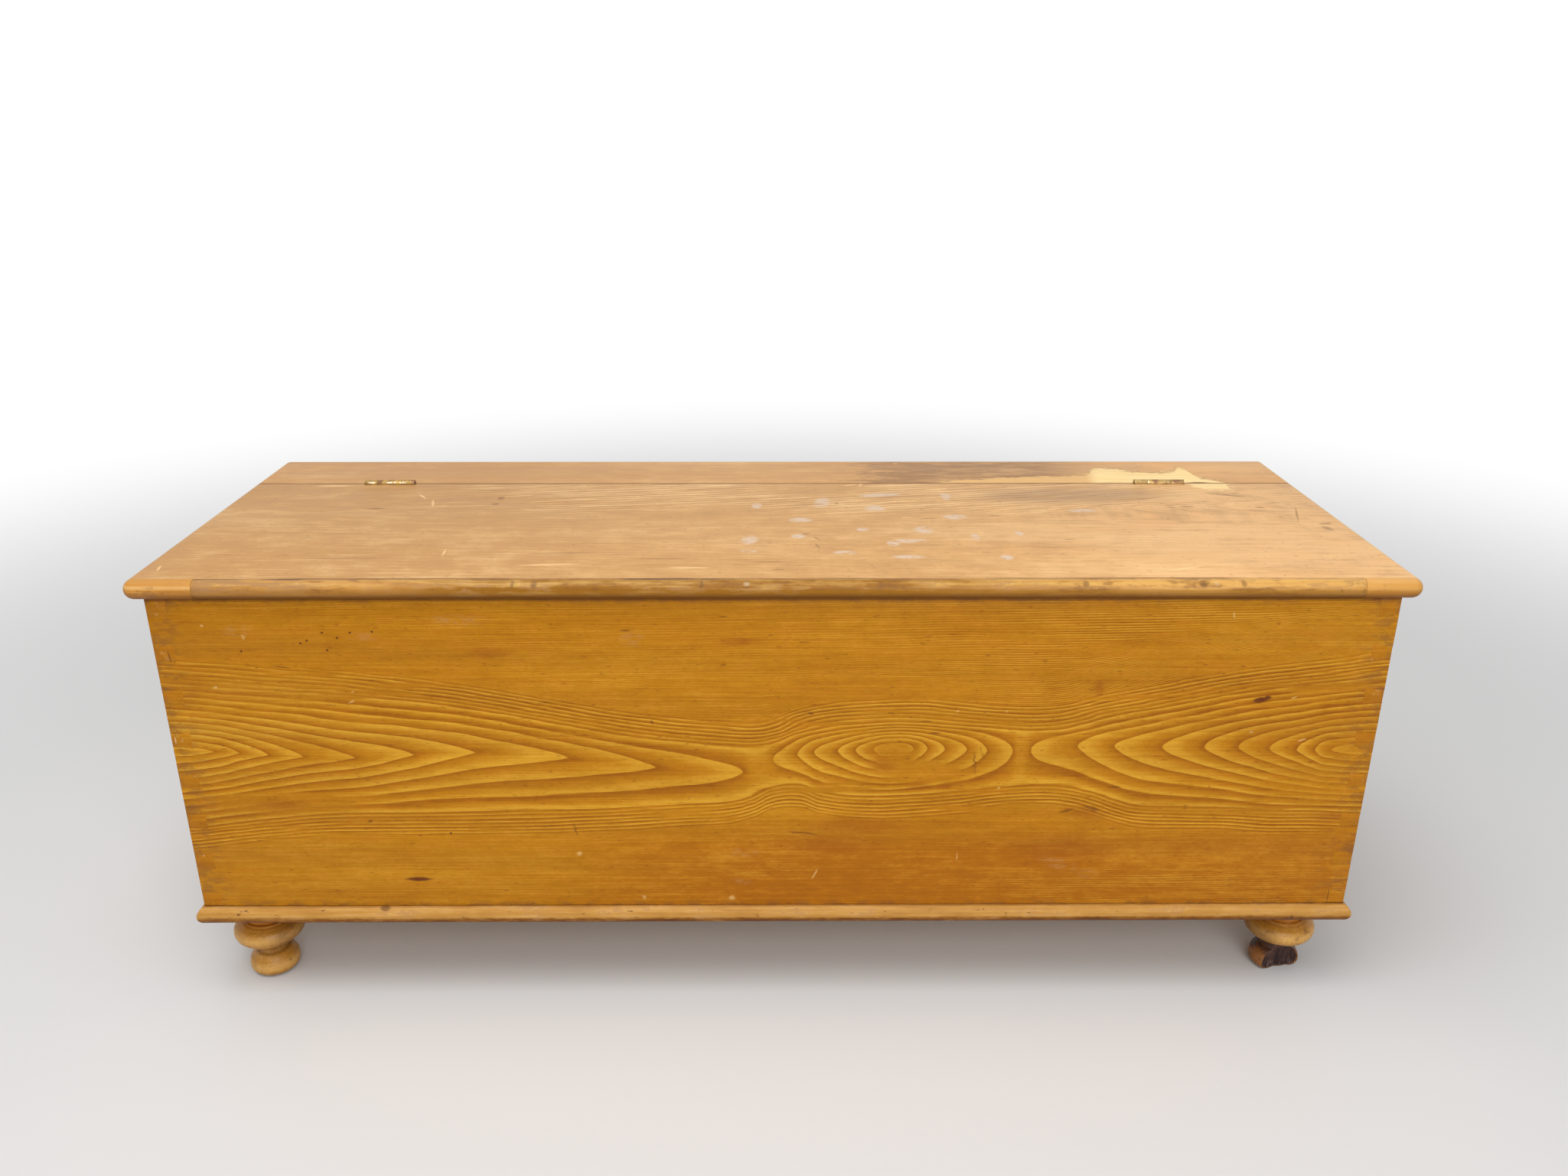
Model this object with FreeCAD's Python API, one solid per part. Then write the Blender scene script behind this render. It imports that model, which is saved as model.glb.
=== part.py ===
import FreeCAD, Part
import math
import os

from FreeCAD import Vector

# Pine blanket chest with a hinged lid, dovetailed case, half-round base moulding and turned feet.
# Millimetres. The origin is on the floor below the middle of the chest.
# +X runs to the right end, +Y to the back, +Z up.

# Case boards
case_width = 1300.0
case_depth = 448.0
case_board_height = 382.5
front_board_thickness = 20.0
back_board_thickness = 20.0
end_board_thickness = 21.0

# Through dovetails: tails on the front and back boards, pins on the end boards
tail_count = 7
outer_pin_height = 20.0
pin_height = 14.0
tail_slope = 1.0 / 7.0

# Bottom boards, nailed up under the case and tongued together
bottom_thickness = 17.5
bottom_board_count = 3
tongue_thickness = 5.0
tongue_depth = 6.0
tongue_clearance = 0.2

# Half-round moulding round the foot of the case
moulding_height = 22.0
moulding_projection = 8.0
moulding_quirk = 1.2

# Lid and the fixed rail behind it
top_thickness = 20.5
top_front_overhang = 12.5
top_end_overhang = 17.5
nose_radius = 10.0
lid_corner_radius = 12.0
rail_depth = 104.0
joint_gap = 1.0
nosing_left_joint = 72.5
nosing_right_joint = 61.5

# Butt hinges
hinge_length = 63.5
hinge_end_distance = 157.0
hinge_middle_knuckle = 30.5
knuckle_radius = 4.5
hinge_pin_radius = 2.0
hinge_axis_rise = 0.3
leaf_width = 17.0
leaf_thickness = 1.6
knuckle_end_gap = 0.25
knuckle_clearance = 0.3
pin_running_clearance = 0.05
barrel_recess_clearance = 0.6

# Countersunk wood screws
screw_count = 3
screw_pitch = 22.0
screw_drop = 10.5
screw_length = 22.0
screw_head_radius = 3.4
screw_shank_radius = 1.8
screw_tip_radius = 0.4
screw_tip_length = 9.0
screw_slot_width = 0.8
screw_slot_depth = 0.7

# Turned feet
foot_height = 95.5
foot_inset = 47.5
foot_ball_radius = 28.2
foot_ball_height = 29.0
foot_ball_widest = 10.5
foot_cove_radius = 17.5
foot_cove_height = 17.0
foot_ring_radius = 40.0
foot_ring_height = 24.0
foot_ring_root_radius = 28.0
foot_fillet_height = 3.0
foot_fillet_radius = 27.0
foot_neck_radius = 24.0
foot_reed_count = 3
foot_reed_bulge = 1.4
foot_tenon_radius = 12.7
foot_wedge_depth = 13.0
foot_wedge_top = 2.6
foot_wedge_tip = 0.8

# The break that took the front of the ball off the right front foot, along the grain
break_turn = 12.0
break_lean = 6.0
break_depth = 14.5
break_hollow = 4.5
break_tear = 1.2
break_facet_count = 7
break_ledge = 3.0

# Nails
nail_spacing = 190.0
nail_length = 50.0
nail_shank = 3.2
nail_tip = 1.4
nail_head_width = 6.5
nail_head_thickness = 1.2
rail_nail_spacing = 300.0
brad_length = 22.0
brad_width = 1.8
brad_setback = 0.4

# Places worked out from the sizes above
half_width = case_width / 2
overall_depth = case_depth + top_front_overhang
back_y = overall_depth / 2
front_y = back_y - case_depth
bottom_z = foot_height
case_z = bottom_z + bottom_thickness
top_z = case_z + case_board_height
lid_top_z = top_z + top_thickness
half_top_width = half_width + top_end_overhang
rail_front_y = back_y - rail_depth
lid_back_y = rail_front_y - joint_gap
lid_front_y = front_y - top_front_overhang
axis_y = rail_front_y - joint_gap / 2
axis_z = lid_top_z + hinge_axis_rise
hinge_x = half_width - hinge_end_distance
foot_x = half_width - foot_inset
foot_front_y = front_y + foot_inset
foot_rear_y = back_y - foot_inset
over_cut = 10.0


def box(x0, x1, y0, y1, z0, z1):
    """A box between two corners."""
    return Part.makeBox(x1 - x0, y1 - y0, z1 - z0, Vector(x0, y0, z0))


def fuse(shapes):
    """One solid made of several that touch or overlap."""
    first, rest = shapes[0], shapes[1:]
    return first.fuse(rest).removeSplitter() if rest else first


def cut(shape, tools):
    """A solid less several tools."""
    return shape.cut(Part.makeCompound(tools)).removeSplitter()


def save(node, shape):
    """Write one sub-part."""
    shape.exportStep("parts/" + node + ".step")


def along_x(radius, x0, x1, y, z):
    """A cylinder lying along X."""
    return Part.makeCylinder(radius, x1 - x0, Vector(x0, y, z), Vector(1, 0, 0))


def even_places(low, high, spacing):
    """Middles of the even stretches, each about one spacing long, between two ends."""
    count = max(1, round((high - low) / spacing))
    step = (high - low) / count
    return [low + step * (i + 0.5) for i in range(count)]


# Dovetails


def pin_levels():
    """Lowest and highest z of every pin at the case's outer edge, bottom to top."""
    space = case_board_height - 2 * outer_pin_height
    tail_height = (space - (tail_count - 1) * pin_height) / tail_count
    levels = [(case_z, case_z + outer_pin_height)]
    z = case_z + outer_pin_height + tail_height
    for _ in range(tail_count - 1):
        levels.append((z, z + pin_height))
        z += pin_height + tail_height
    levels.append((top_z - outer_pin_height, top_z))
    return levels


def dovetail_pins(side, y0, y1):
    """The pins of one corner as prisms through a face board, wider towards the inside."""
    outer_x = side * half_width
    inner_x = side * (half_width - end_board_thickness)
    flare = end_board_thickness * tail_slope
    pins = []
    for low, high in pin_levels():
        inner_low = max(low - flare, case_z)
        inner_high = min(high + flare, top_z)
        corners = [
            Vector(outer_x, y0, low),
            Vector(outer_x, y0, high),
            Vector(inner_x, y0, inner_high),
            Vector(inner_x, y0, inner_low),
            Vector(outer_x, y0, low),
        ]
        pins.append(Part.Face(Part.makePolygon(corners)).extrude(Vector(0, y1 - y0, 0)))
    return pins


def face_board(y0, y1):
    """Front or back board with its rows of tails."""
    board = box(-half_width, half_width, y0, y1, case_z, top_z)
    return cut(board, dovetail_pins(-1, y0, y1) + dovetail_pins(1, y0, y1))


def end_board(side):
    """End board with a row of pins at each side."""
    outer_x = side * half_width
    inner_x = side * (half_width - end_board_thickness)
    inside_front = front_y + front_board_thickness
    inside_back = back_y - back_board_thickness
    board = box(min(outer_x, inner_x), max(outer_x, inner_x), inside_front, inside_back, case_z, top_z)
    pins = dovetail_pins(side, front_y, inside_front) + dovetail_pins(side, inside_back, back_y)
    return fuse([board] + pins)


# Nails and screws


def cut_nail(x, y, z, direction):
    """A cut nail: a tapering square shank with a flat head, its head face at x, y, z."""
    shank = Part.makeLoft([square(nail_shank / 2, 0), square(nail_tip / 2, nail_length)], True, True)
    half_head = nail_head_width / 2
    head = box(-half_head, half_head, -half_head, half_head, 0, nail_head_thickness)
    nail = fuse([shank, head])
    nail.Placement = FreeCAD.Placement(Vector(x, y, z), FreeCAD.Rotation(Vector(0, 0, 1), direction))
    return nail


def square(half, z):
    """A square outline across the Z axis."""
    points = [(-half, -half), (half, -half), (half, half), (-half, half), (-half, -half)]
    return Part.makePolygon([Vector(a, b, z) for a, b in points])


def bottom_nails():
    """Nails up through the bottom boards into the lower edges of the case."""
    up = Vector(0, 0, 1)
    nails = []
    for y in (front_y + front_board_thickness / 2, back_y - back_board_thickness / 2):
        for x in even_places(-half_width, half_width, nail_spacing):
            nails.append(cut_nail(x, y, bottom_z, up))
    board_width = case_depth / bottom_board_count
    for side in (-1, 1):
        x = side * (half_width - end_board_thickness / 2)
        for i in range(bottom_board_count):
            for share in (0.3, 0.7):
                y = front_y + (i + share) * board_width
                nails.append(cut_nail(x, y, bottom_z, up))
    return nails


def rail_nails():
    """Nails down through the rear rail into the back board and the end boards."""
    down = Vector(0, 0, -1)
    nails = []
    for x in even_places(-half_width, half_width, rail_nail_spacing):
        nails.append(cut_nail(x, back_y - back_board_thickness / 2, lid_top_z, down))
    for side in (-1, 1):
        x = side * (half_width - end_board_thickness / 2)
        nails.append(cut_nail(x, rail_front_y + rail_depth / 2, lid_top_z, down))
    return nails


def brad_level():
    """Height of the brads, in the middle of the moulding."""
    return bottom_z + min(moulding_height, bottom_thickness) / 2


def brads_of(side):
    """Square brads through one run of moulding: front is 0, the ends are -1 and 1."""
    half = brad_width / 2
    z = brad_level()
    start = moulding_projection - brad_setback
    brads = []
    if side == 0:
        joints = even_places(-half_width, half_width, nail_spacing)
        step = joints[1] - joints[0] if len(joints) > 1 else 0
        for x in joints[:-1]:
            middle = x + step / 2
            brads.append(box(middle - half, middle + half, front_y - start,
                             front_y - start + brad_length, z - half, z + half))
        return brads
    board_width = case_depth / bottom_board_count
    for i in range(bottom_board_count):
        y = front_y + (i + 0.5) * board_width
        outer = side * (half_width + start)
        inner = side * (half_width + start - brad_length)
        brads.append(box(min(outer, inner), max(outer, inner), y - half, y + half, z - half, z + half))
    return brads


def screw_blank(x, side):
    """A countersunk screw without its slot, driven from the lid joint into one edge."""
    neck = leaf_thickness
    profile = [
        (0, 0), (screw_head_radius, 0), (screw_shank_radius, neck),
        (screw_shank_radius, screw_length - screw_tip_length),
        (screw_tip_radius, screw_length), (0, screw_length), (0, 0),
    ]
    face = Part.Face(Part.makePolygon([Vector(r, 0, h) for r, h in profile]))
    screw = face.revolve(Vector(0, 0, 0), Vector(0, 0, 1), 360)
    place = Vector(x, axis_y + side * joint_gap / 2, axis_z - screw_drop)
    screw.Placement = FreeCAD.Placement(place, FreeCAD.Rotation(Vector(0, 0, 1), Vector(0, side, 0)))
    return screw


def screw_places(hinge_centre):
    """Middles of the screws of one leaf along X."""
    first = hinge_centre - screw_pitch * (screw_count - 1) / 2
    return [first + screw_pitch * i for i in range(screw_count)]


def hinge_screws(hinge_centre, side):
    """The slotted screws of one leaf."""
    face_y = axis_y + side * joint_gap / 2
    z = axis_z - screw_drop
    slot_y = sorted((face_y - side * over_cut, face_y + side * screw_slot_depth))
    screws = []
    for x in screw_places(hinge_centre):
        slot = box(x - screw_head_radius, x + screw_head_radius, slot_y[0], slot_y[1],
                   z - screw_slot_width / 2, z + screw_slot_width / 2)
        screws.append(cut(screw_blank(x, side), [slot]))
    return screws


# Hinges


def knuckle_spans(hinge_centre, side):
    """X spans of a leaf's knuckles: two outer ones on the rail leaf, the middle one on the lid leaf."""
    half = hinge_length / 2
    middle = hinge_middle_knuckle / 2
    if side > 0:
        return [
            (hinge_centre - half, hinge_centre - middle - knuckle_end_gap),
            (hinge_centre + middle + knuckle_end_gap, hinge_centre + half),
        ]
    return [(hinge_centre - middle, hinge_centre + middle)]


def hinge_leaf(hinge_centre, side):
    """One leaf, side -1 on the lid and 1 on the rail, with its knuckles and screw holes."""
    half = hinge_length / 2
    near = axis_y + side * joint_gap / 2
    far = near + side * leaf_thickness
    plate = box(hinge_centre - half, hinge_centre + half, min(near, far), max(near, far),
                axis_z - leaf_width, axis_z)
    knuckles = [along_x(knuckle_radius, a, b, axis_y, axis_z) for a, b in knuckle_spans(hinge_centre, side)]
    other = [
        along_x(knuckle_radius + knuckle_clearance, a - knuckle_end_gap, b + knuckle_end_gap, axis_y, axis_z)
        for a, b in knuckle_spans(hinge_centre, -side)
    ]
    leaf = fuse([cut(plate, other)] + knuckles)
    bore_radius = hinge_pin_radius + (pin_running_clearance if side < 0 else 0)
    bore = along_x(bore_radius, hinge_centre - hinge_length, hinge_centre + hinge_length, axis_y, axis_z)
    return cut(leaf, [bore] + [screw_blank(x, side) for x in screw_places(hinge_centre)])


def hinge_recess(hinge_centre, side):
    """What the lid's or rail's edge loses to one hinge: leaf gain, barrel groove and screw holes."""
    half = hinge_length / 2
    near = axis_y
    far = axis_y + side * (joint_gap / 2 + leaf_thickness)
    gain = box(hinge_centre - half, hinge_centre + half, min(near, far), max(near, far),
               axis_z - leaf_width, axis_z + over_cut)
    groove = along_x(knuckle_radius + barrel_recess_clearance, hinge_centre - half - barrel_recess_clearance,
                     hinge_centre + half + barrel_recess_clearance, axis_y, axis_z)
    return [gain, groove] + [screw_blank(x, side) for x in screw_places(hinge_centre)]


def hinge_pin(hinge_centre):
    """The pin through the three knuckles."""
    half = hinge_length / 2
    return along_x(hinge_pin_radius, hinge_centre - half, hinge_centre + half, axis_y, axis_z)


# Lid and rail


def nosed_slab(y0, y1, rounded_front):
    """A top board with bull-nosed ends, and a bull-nosed front with rounded corners where asked."""
    slab = box(-half_top_width, half_top_width, y0, y1, top_z, lid_top_z)
    if rounded_front:
        corners = [e for e in slab.Edges if upright(e) and e.Vertexes[0].Y < y0 + 1]
        slab = slab.makeFillet(lid_corner_radius, corners)
    edges = [e for e in slab.Edges if flat(e) and nosed(e, y0, y1, rounded_front)]
    return slab.makeFillet(nose_radius, edges)


def upright(edge):
    """True for an edge that runs along Z."""
    a, b = edge.Vertexes[0].Point, edge.Vertexes[-1].Point
    return abs(a.x - b.x) < 1e-6 and abs(a.y - b.y) < 1e-6


def flat(edge):
    """True for an edge that stays at one height."""
    return edge.BoundBox.ZLength < 1e-6


def nosed(edge, y0, y1, rounded_front):
    """True for an edge of the ends, and of the front where that is rounded."""
    centre = edge.BoundBox.Center
    if abs(centre.y - y1) < 1e-6:
        return False
    if abs(centre.y - y0) < 1e-6:
        return rounded_front
    return True


def lid_pieces():
    """The lid board and the half-round strip let into its front edge."""
    slab = nosed_slab(lid_front_y, lid_back_y, True)
    strip_space = box(-half_top_width + nosing_left_joint, half_top_width - nosing_right_joint,
                      lid_front_y - over_cut, front_y, top_z - over_cut, lid_top_z + over_cut)
    strip = slab.common(strip_space)
    recesses = hinge_recess(-hinge_x, -1) + hinge_recess(hinge_x, -1)
    return cut(slab, [strip_space] + recesses), strip


def rear_rail():
    """The fixed strip behind the lid."""
    rail = nosed_slab(rail_front_y, back_y, False)
    return cut(rail, hinge_recess(-hinge_x, 1) + hinge_recess(hinge_x, 1) + rail_nails())


# Bottom, moulding and feet


def bottom_boards():
    """Long boards side by side, each tongued into the next."""
    width = case_depth / bottom_board_count
    middle_z = bottom_z + bottom_thickness / 2
    half_tongue = tongue_thickness / 2
    boards = []
    for i in range(bottom_board_count):
        y0, y1 = front_y + i * width, front_y + (i + 1) * width
        board = box(-half_width, half_width, y0, y1, bottom_z, case_z)
        if i < bottom_board_count - 1:
            tongue = box(-half_width, half_width, y1, y1 + tongue_depth,
                         middle_z - half_tongue, middle_z + half_tongue)
            board = fuse([board, tongue])
        if i > 0:
            half_groove = half_tongue + tongue_clearance
            groove = box(-half_width, half_width, y0, y0 + tongue_depth + tongue_clearance,
                         middle_z - half_groove, middle_z + half_groove)
            board = cut(board, [groove])
        boards.append(board)
    tenons = [tenon(x, y) for x, y in foot_places().values()]
    brads = brads_of(0) + brads_of(-1) + brads_of(1)
    return [cut(board, tenons + bottom_nails() + brads) for board in boards]


def moulding_section():
    """The half-round section, with its back on the plane x = 0 and its foot at z = 0."""
    back = Vector(0, 0, 0)
    top = Vector(0, 0, moulding_height)
    nose_foot = Vector(moulding_quirk, 0, 0)
    nose_head = Vector(moulding_quirk, 0, moulding_height)
    nose = Part.Arc(nose_foot, Vector(moulding_projection, 0, moulding_height / 2), nose_head).toShape()
    lines = [Part.makeLine(nose_head, top), Part.makeLine(top, back), Part.makeLine(back, nose_foot)]
    return Part.Face(Part.Wire([nose] + lines))


def moulding_run(start, end, outward):
    """A length of the moulding from start to end, standing out along the outward direction."""
    run = end - start
    section = moulding_section().extrude(Vector(0, run.Length, 0))
    turn = math.degrees(math.atan2(outward.y, outward.x))
    section.Placement = FreeCAD.Placement(start, FreeCAD.Rotation(Vector(0, 0, 1), turn))
    return section


def corner_space(side):
    """The space beside one end of the case, on the end moulding's side of the mitre."""
    reach = moulding_projection + over_cut
    x, y = side * half_width, front_y
    corners = [
        Vector(x, y, 0),
        Vector(x + side * reach, y - reach, 0),
        Vector(x + side * reach, back_y, 0),
        Vector(x, back_y, 0),
        Vector(x, y, 0),
    ]
    return Part.Face(Part.makePolygon(corners)).extrude(Vector(0, 0, lid_top_z))


def mouldings():
    """The front run and the two end runs, mitred at the front corners."""
    reach = moulding_projection
    front = moulding_run(Vector(-half_width - reach, front_y, bottom_z),
                         Vector(half_width + reach, front_y, bottom_z), Vector(0, -1, 0))
    front = cut(front, [corner_space(-1), corner_space(1)] + brads_of(0))
    left = moulding_run(Vector(-half_width, back_y, bottom_z),
                        Vector(-half_width, front_y - reach, bottom_z), Vector(-1, 0, 0))
    right = moulding_run(Vector(half_width, front_y - reach, bottom_z),
                         Vector(half_width, back_y, bottom_z), Vector(1, 0, 0))
    left = cut(left.common(corner_space(-1)), brads_of(-1))
    right = cut(right.common(corner_space(1)), brads_of(1))
    return front, left, right


def foot_places():
    """Where the axis of each foot stands."""
    return {
        "foot_front_left": (-foot_x, foot_front_y),
        "foot_front_right": (foot_x, foot_front_y),
        "foot_rear_left": (-foot_x, foot_rear_y),
        "foot_rear_right": (foot_x, foot_rear_y),
    }


def tenon(x, y):
    """The round tenon of a foot, up through the bottom."""
    return Part.makeCylinder(foot_tenon_radius, bottom_thickness, Vector(x, y, bottom_z))


def arc(a, b, c):
    """An arc through three places, each a radius and a height."""
    return Part.Arc(Vector(a[0], 0, a[1]), Vector(b[0], 0, b[1]), Vector(c[0], 0, c[1])).toShape()


def bend(widest, end):
    """An arc that stands upright at the widest place and bends in to its end."""
    inward, rise = widest[0] - end[0], end[1] - widest[1]
    radius = (inward ** 2 + rise ** 2) / (2 * inward)
    half_angle = math.atan2(rise, radius - inward) / 2
    middle = (widest[0] - radius * (1 - math.cos(half_angle)), widest[1] + radius * math.sin(half_angle))
    return arc(widest, middle, end)


def line(a, b):
    """A straight line between two places, each a radius and a height."""
    return Part.makeLine(Vector(a[0], 0, a[1]), Vector(b[0], 0, b[1]))


def turned_foot():
    """The foot's turning: ball, cove, big ring, fillet and reeded neck, without its tenon."""
    seat = (foot_ball_radius - foot_ball_widest, 0)
    ball = (foot_ball_radius, foot_ball_widest)
    cove_low = (foot_cove_radius, foot_ball_height)
    cove_high_z = foot_ball_height + foot_cove_height
    cove_high = (foot_ring_root_radius, cove_high_z)
    cove = (foot_cove_radius + 2.0, foot_ball_height + foot_cove_height * 0.6)
    ring = (foot_ring_radius, cove_high_z + foot_ring_height / 2)
    ring_top_z = cove_high_z + foot_ring_height
    ring_top = (foot_ring_root_radius, ring_top_z)
    fillet_low = (foot_fillet_radius, ring_top_z)
    fillet_high = (foot_fillet_radius, ring_top_z + foot_fillet_height)
    neck_low = (foot_neck_radius, ring_top_z + foot_fillet_height)
    edges = [
        line((0, 0), seat), bend(ball, seat), bend(ball, cove_low), arc(cove_low, cove, cove_high),
        arc(cove_high, ring, ring_top), line(ring_top, fillet_low), line(fillet_low, fillet_high),
        line(fillet_high, neck_low),
    ]
    reed_height = (foot_height - neck_low[1]) / foot_reed_count
    z = neck_low[1]
    for _ in range(foot_reed_count):
        middle = (foot_neck_radius + foot_reed_bulge, z + reed_height / 2)
        edges.append(arc((foot_neck_radius, z), middle, (foot_neck_radius, z + reed_height)))
        z += reed_height
    edges.append(line((foot_neck_radius, foot_height), (0, foot_height)))
    edges.append(line((0, foot_height), (0, 0)))
    outline = Part.Wire(Part.sortEdges(edges)[0])
    return Part.Face(outline).revolve(Vector(0, 0, 0), Vector(0, 0, 1), 360)


def wedge_slot(x, y):
    """The tapering slot sawn across the grain in the top of a tenon, which its wedge fills."""
    half_top, half_tip = foot_wedge_top / 2, foot_wedge_tip / 2
    low = case_z - foot_wedge_depth
    corners = [
        Vector(x - half_tip, y - foot_tenon_radius, low),
        Vector(x + half_tip, y - foot_tenon_radius, low),
        Vector(x + half_top, y - foot_tenon_radius, case_z),
        Vector(x - half_top, y - foot_tenon_radius, case_z),
        Vector(x - half_tip, y - foot_tenon_radius, low),
    ]
    prism = Part.Face(Part.makePolygon(corners)).extrude(Vector(0, 2 * foot_tenon_radius, 0))
    return prism.common(tenon(x, y))


def break_line():
    """The split's plan from left to right: a shallow hollow, torn a little from facet to facet."""
    points = []
    for i in range(break_facet_count + 1):
        share = 2 * i / break_facet_count - 1
        hollow = break_hollow * (1 - share * share)
        tear = break_tear if i % 2 else 0
        points.append(Vector(share * foot_ball_radius, hollow + tear - break_depth, -over_cut))
    return points


def broken_front(x, y):
    """What the break took from a foot: the front of its ball and cove, along the grain."""
    reach = 2 * foot_ring_radius
    top = foot_ball_height + foot_cove_height - break_ledge
    split = break_line()
    sides = [Vector(reach, split[-1].y, -over_cut), Vector(reach, -reach, -over_cut),
             Vector(-reach, -reach, -over_cut), Vector(-reach, split[0].y, -over_cut)]
    outline = Part.makePolygon(split + sides + [split[0]])
    piece = Part.Face(outline).extrude(Vector(0, 0, top + over_cut))
    lean = FreeCAD.Rotation(Vector(1, 0, 0), break_lean)
    turn = FreeCAD.Rotation(Vector(0, 0, 1), break_turn)
    piece.Placement = FreeCAD.Placement(Vector(x, y, 0), turn.multiply(lean))
    return piece


def foot(name):
    """One foot where it stands, with its wedged tenon."""
    x, y = foot_places()[name]
    turning = turned_foot()
    turning.translate(Vector(x, y, 0))
    if name == "foot_front_right":
        turning = cut(turning, [broken_front(x, y)])
    return cut(fuse([turning, tenon(x, y)]), [wedge_slot(x, y)])


# Build every sub-part

front_holes = bottom_nails()
save("front_board", cut(face_board(front_y, front_y + front_board_thickness), front_holes))
save("back_board", cut(face_board(back_y - back_board_thickness, back_y), front_holes + rail_nails()))
save("left_end_board", cut(end_board(-1), front_holes + rail_nails()))
save("right_end_board", cut(end_board(1), front_holes + rail_nails()))

for name, board in zip(("bottom_board_front", "bottom_board_middle", "bottom_board_rear"), bottom_boards()):
    save(name, board)

moulding_front, moulding_left, moulding_right = mouldings()
save("base_moulding_front", moulding_front)
save("base_moulding_left", moulding_left)
save("base_moulding_right", moulding_right)

for name in foot_places():
    save(name, foot(name))
save("foot_tenon_wedges", Part.makeCompound([wedge_slot(x, y) for x, y in foot_places().values()]))

lid_board, lid_front_nosing = lid_pieces()
save("lid_board", lid_board)
save("lid_front_nosing", lid_front_nosing)
save("top_rear_rail", rear_rail())

for hand, centre in (("left", -hinge_x), ("right", hinge_x)):
    save("lid_hinge_leaf_" + hand, hinge_leaf(centre, -1))
    save("rail_hinge_leaf_" + hand, hinge_leaf(centre, 1))
    save("hinge_pin_" + hand, hinge_pin(centre))
save("lid_hinge_screws", Part.makeCompound(hinge_screws(-hinge_x, -1) + hinge_screws(hinge_x, -1)))
save("rail_hinge_screws", Part.makeCompound(hinge_screws(-hinge_x, 1) + hinge_screws(hinge_x, 1)))

save("bottom_nails", Part.makeCompound(bottom_nails()))
save("rail_nails", Part.makeCompound(rail_nails()))
save("moulding_brads", Part.makeCompound(brads_of(0) + brads_of(-1) + brads_of(1)))
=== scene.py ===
import functools
import math

import bmesh
import bpy
from mathutils import Matrix, Vector
from mathutils.bvhtree import BVHTree


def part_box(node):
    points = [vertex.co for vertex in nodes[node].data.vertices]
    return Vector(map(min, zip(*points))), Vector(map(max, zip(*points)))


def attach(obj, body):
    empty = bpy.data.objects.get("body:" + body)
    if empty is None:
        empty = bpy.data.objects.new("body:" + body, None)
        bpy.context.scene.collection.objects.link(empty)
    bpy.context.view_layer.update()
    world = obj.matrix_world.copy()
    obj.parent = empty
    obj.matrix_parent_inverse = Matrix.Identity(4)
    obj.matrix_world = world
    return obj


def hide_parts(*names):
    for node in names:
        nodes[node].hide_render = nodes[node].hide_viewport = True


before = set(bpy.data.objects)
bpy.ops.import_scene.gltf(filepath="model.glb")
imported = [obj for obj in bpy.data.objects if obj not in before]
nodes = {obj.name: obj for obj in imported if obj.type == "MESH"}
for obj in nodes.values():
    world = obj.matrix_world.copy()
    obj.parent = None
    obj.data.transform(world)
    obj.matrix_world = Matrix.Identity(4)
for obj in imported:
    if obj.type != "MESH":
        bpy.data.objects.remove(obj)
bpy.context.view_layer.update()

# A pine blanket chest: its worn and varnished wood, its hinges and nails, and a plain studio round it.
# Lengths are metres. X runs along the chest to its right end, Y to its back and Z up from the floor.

MM = 0.001


# ---- sizes read from the frame

front_low, front_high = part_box("front_board")
back_low, back_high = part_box("back_board")
end_low, end_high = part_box("right_end_board")
lid_low, lid_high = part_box("lid_board")
_, nosing_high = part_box("lid_front_nosing")
rail_low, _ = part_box("top_rear_rail")
moulding_low, moulding_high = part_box("base_moulding_front")
broken_low, broken_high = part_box("foot_front_right")

FRONT_FACE = front_low.y
FRONT_INSIDE = front_high.y
END_FACE = end_high.x
END_INSIDE = end_low.x
LID_TOP = lid_high.z
LID_UNDER = lid_low.z
JOINT_BACK = rail_low.y
FOOT_X = (broken_low.x + broken_high.x) / 2
FOOT_FRONT_Y = (broken_low.y + broken_high.y) / 2
FOOT_REAR_Y = sum(corner.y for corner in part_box("foot_rear_right")) / 2
MOULDING_TOP = moulding_high.z
MOULDING_UNDER = moulding_low.z
SEAM = nosing_high.y
NOSING_END = nosing_high.x
FOOT_MIDDLE_Y = (FOOT_FRONT_Y + FOOT_REAR_Y) / 2
FOOT_SPREAD_Y = (FOOT_REAR_Y - FOOT_FRONT_Y) / 2


# ---- wiring a finish

def adds(operation):
    """A method of a wire that adds one Math node."""
    return lambda one, *others: one.maths(operation, one, *others)


def both_ways(operation):
    """An operator and its reflected form, so that 1 - mask works too."""
    return adds(operation), lambda one, other: one.maths(operation, other, one)


class Wire:
    """A number running through a finish. Sums written on it add Math nodes."""

    __add__, __radd__ = both_ways("ADD")
    __sub__, __rsub__ = both_ways("SUBTRACT")
    __mul__, __rmul__ = both_ways("MULTIPLY")
    __truediv__, __rtruediv__ = both_ways("DIVIDE")
    __pow__, __rpow__ = both_ways("POWER")
    fraction = adds("FRACT")
    size = adds("ABSOLUTE")
    at_least = adds("MAXIMUM")
    at_most = adds("MINIMUM")
    past = adds("GREATER_THAN")

    def __init__(self, wiring, socket):
        self.wiring = wiring
        self.socket = socket

    def maths(self, operation, *values):
        return self.wiring.node("ShaderNodeMath", {"operation": operation}, dict(enumerate(values)))


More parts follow.
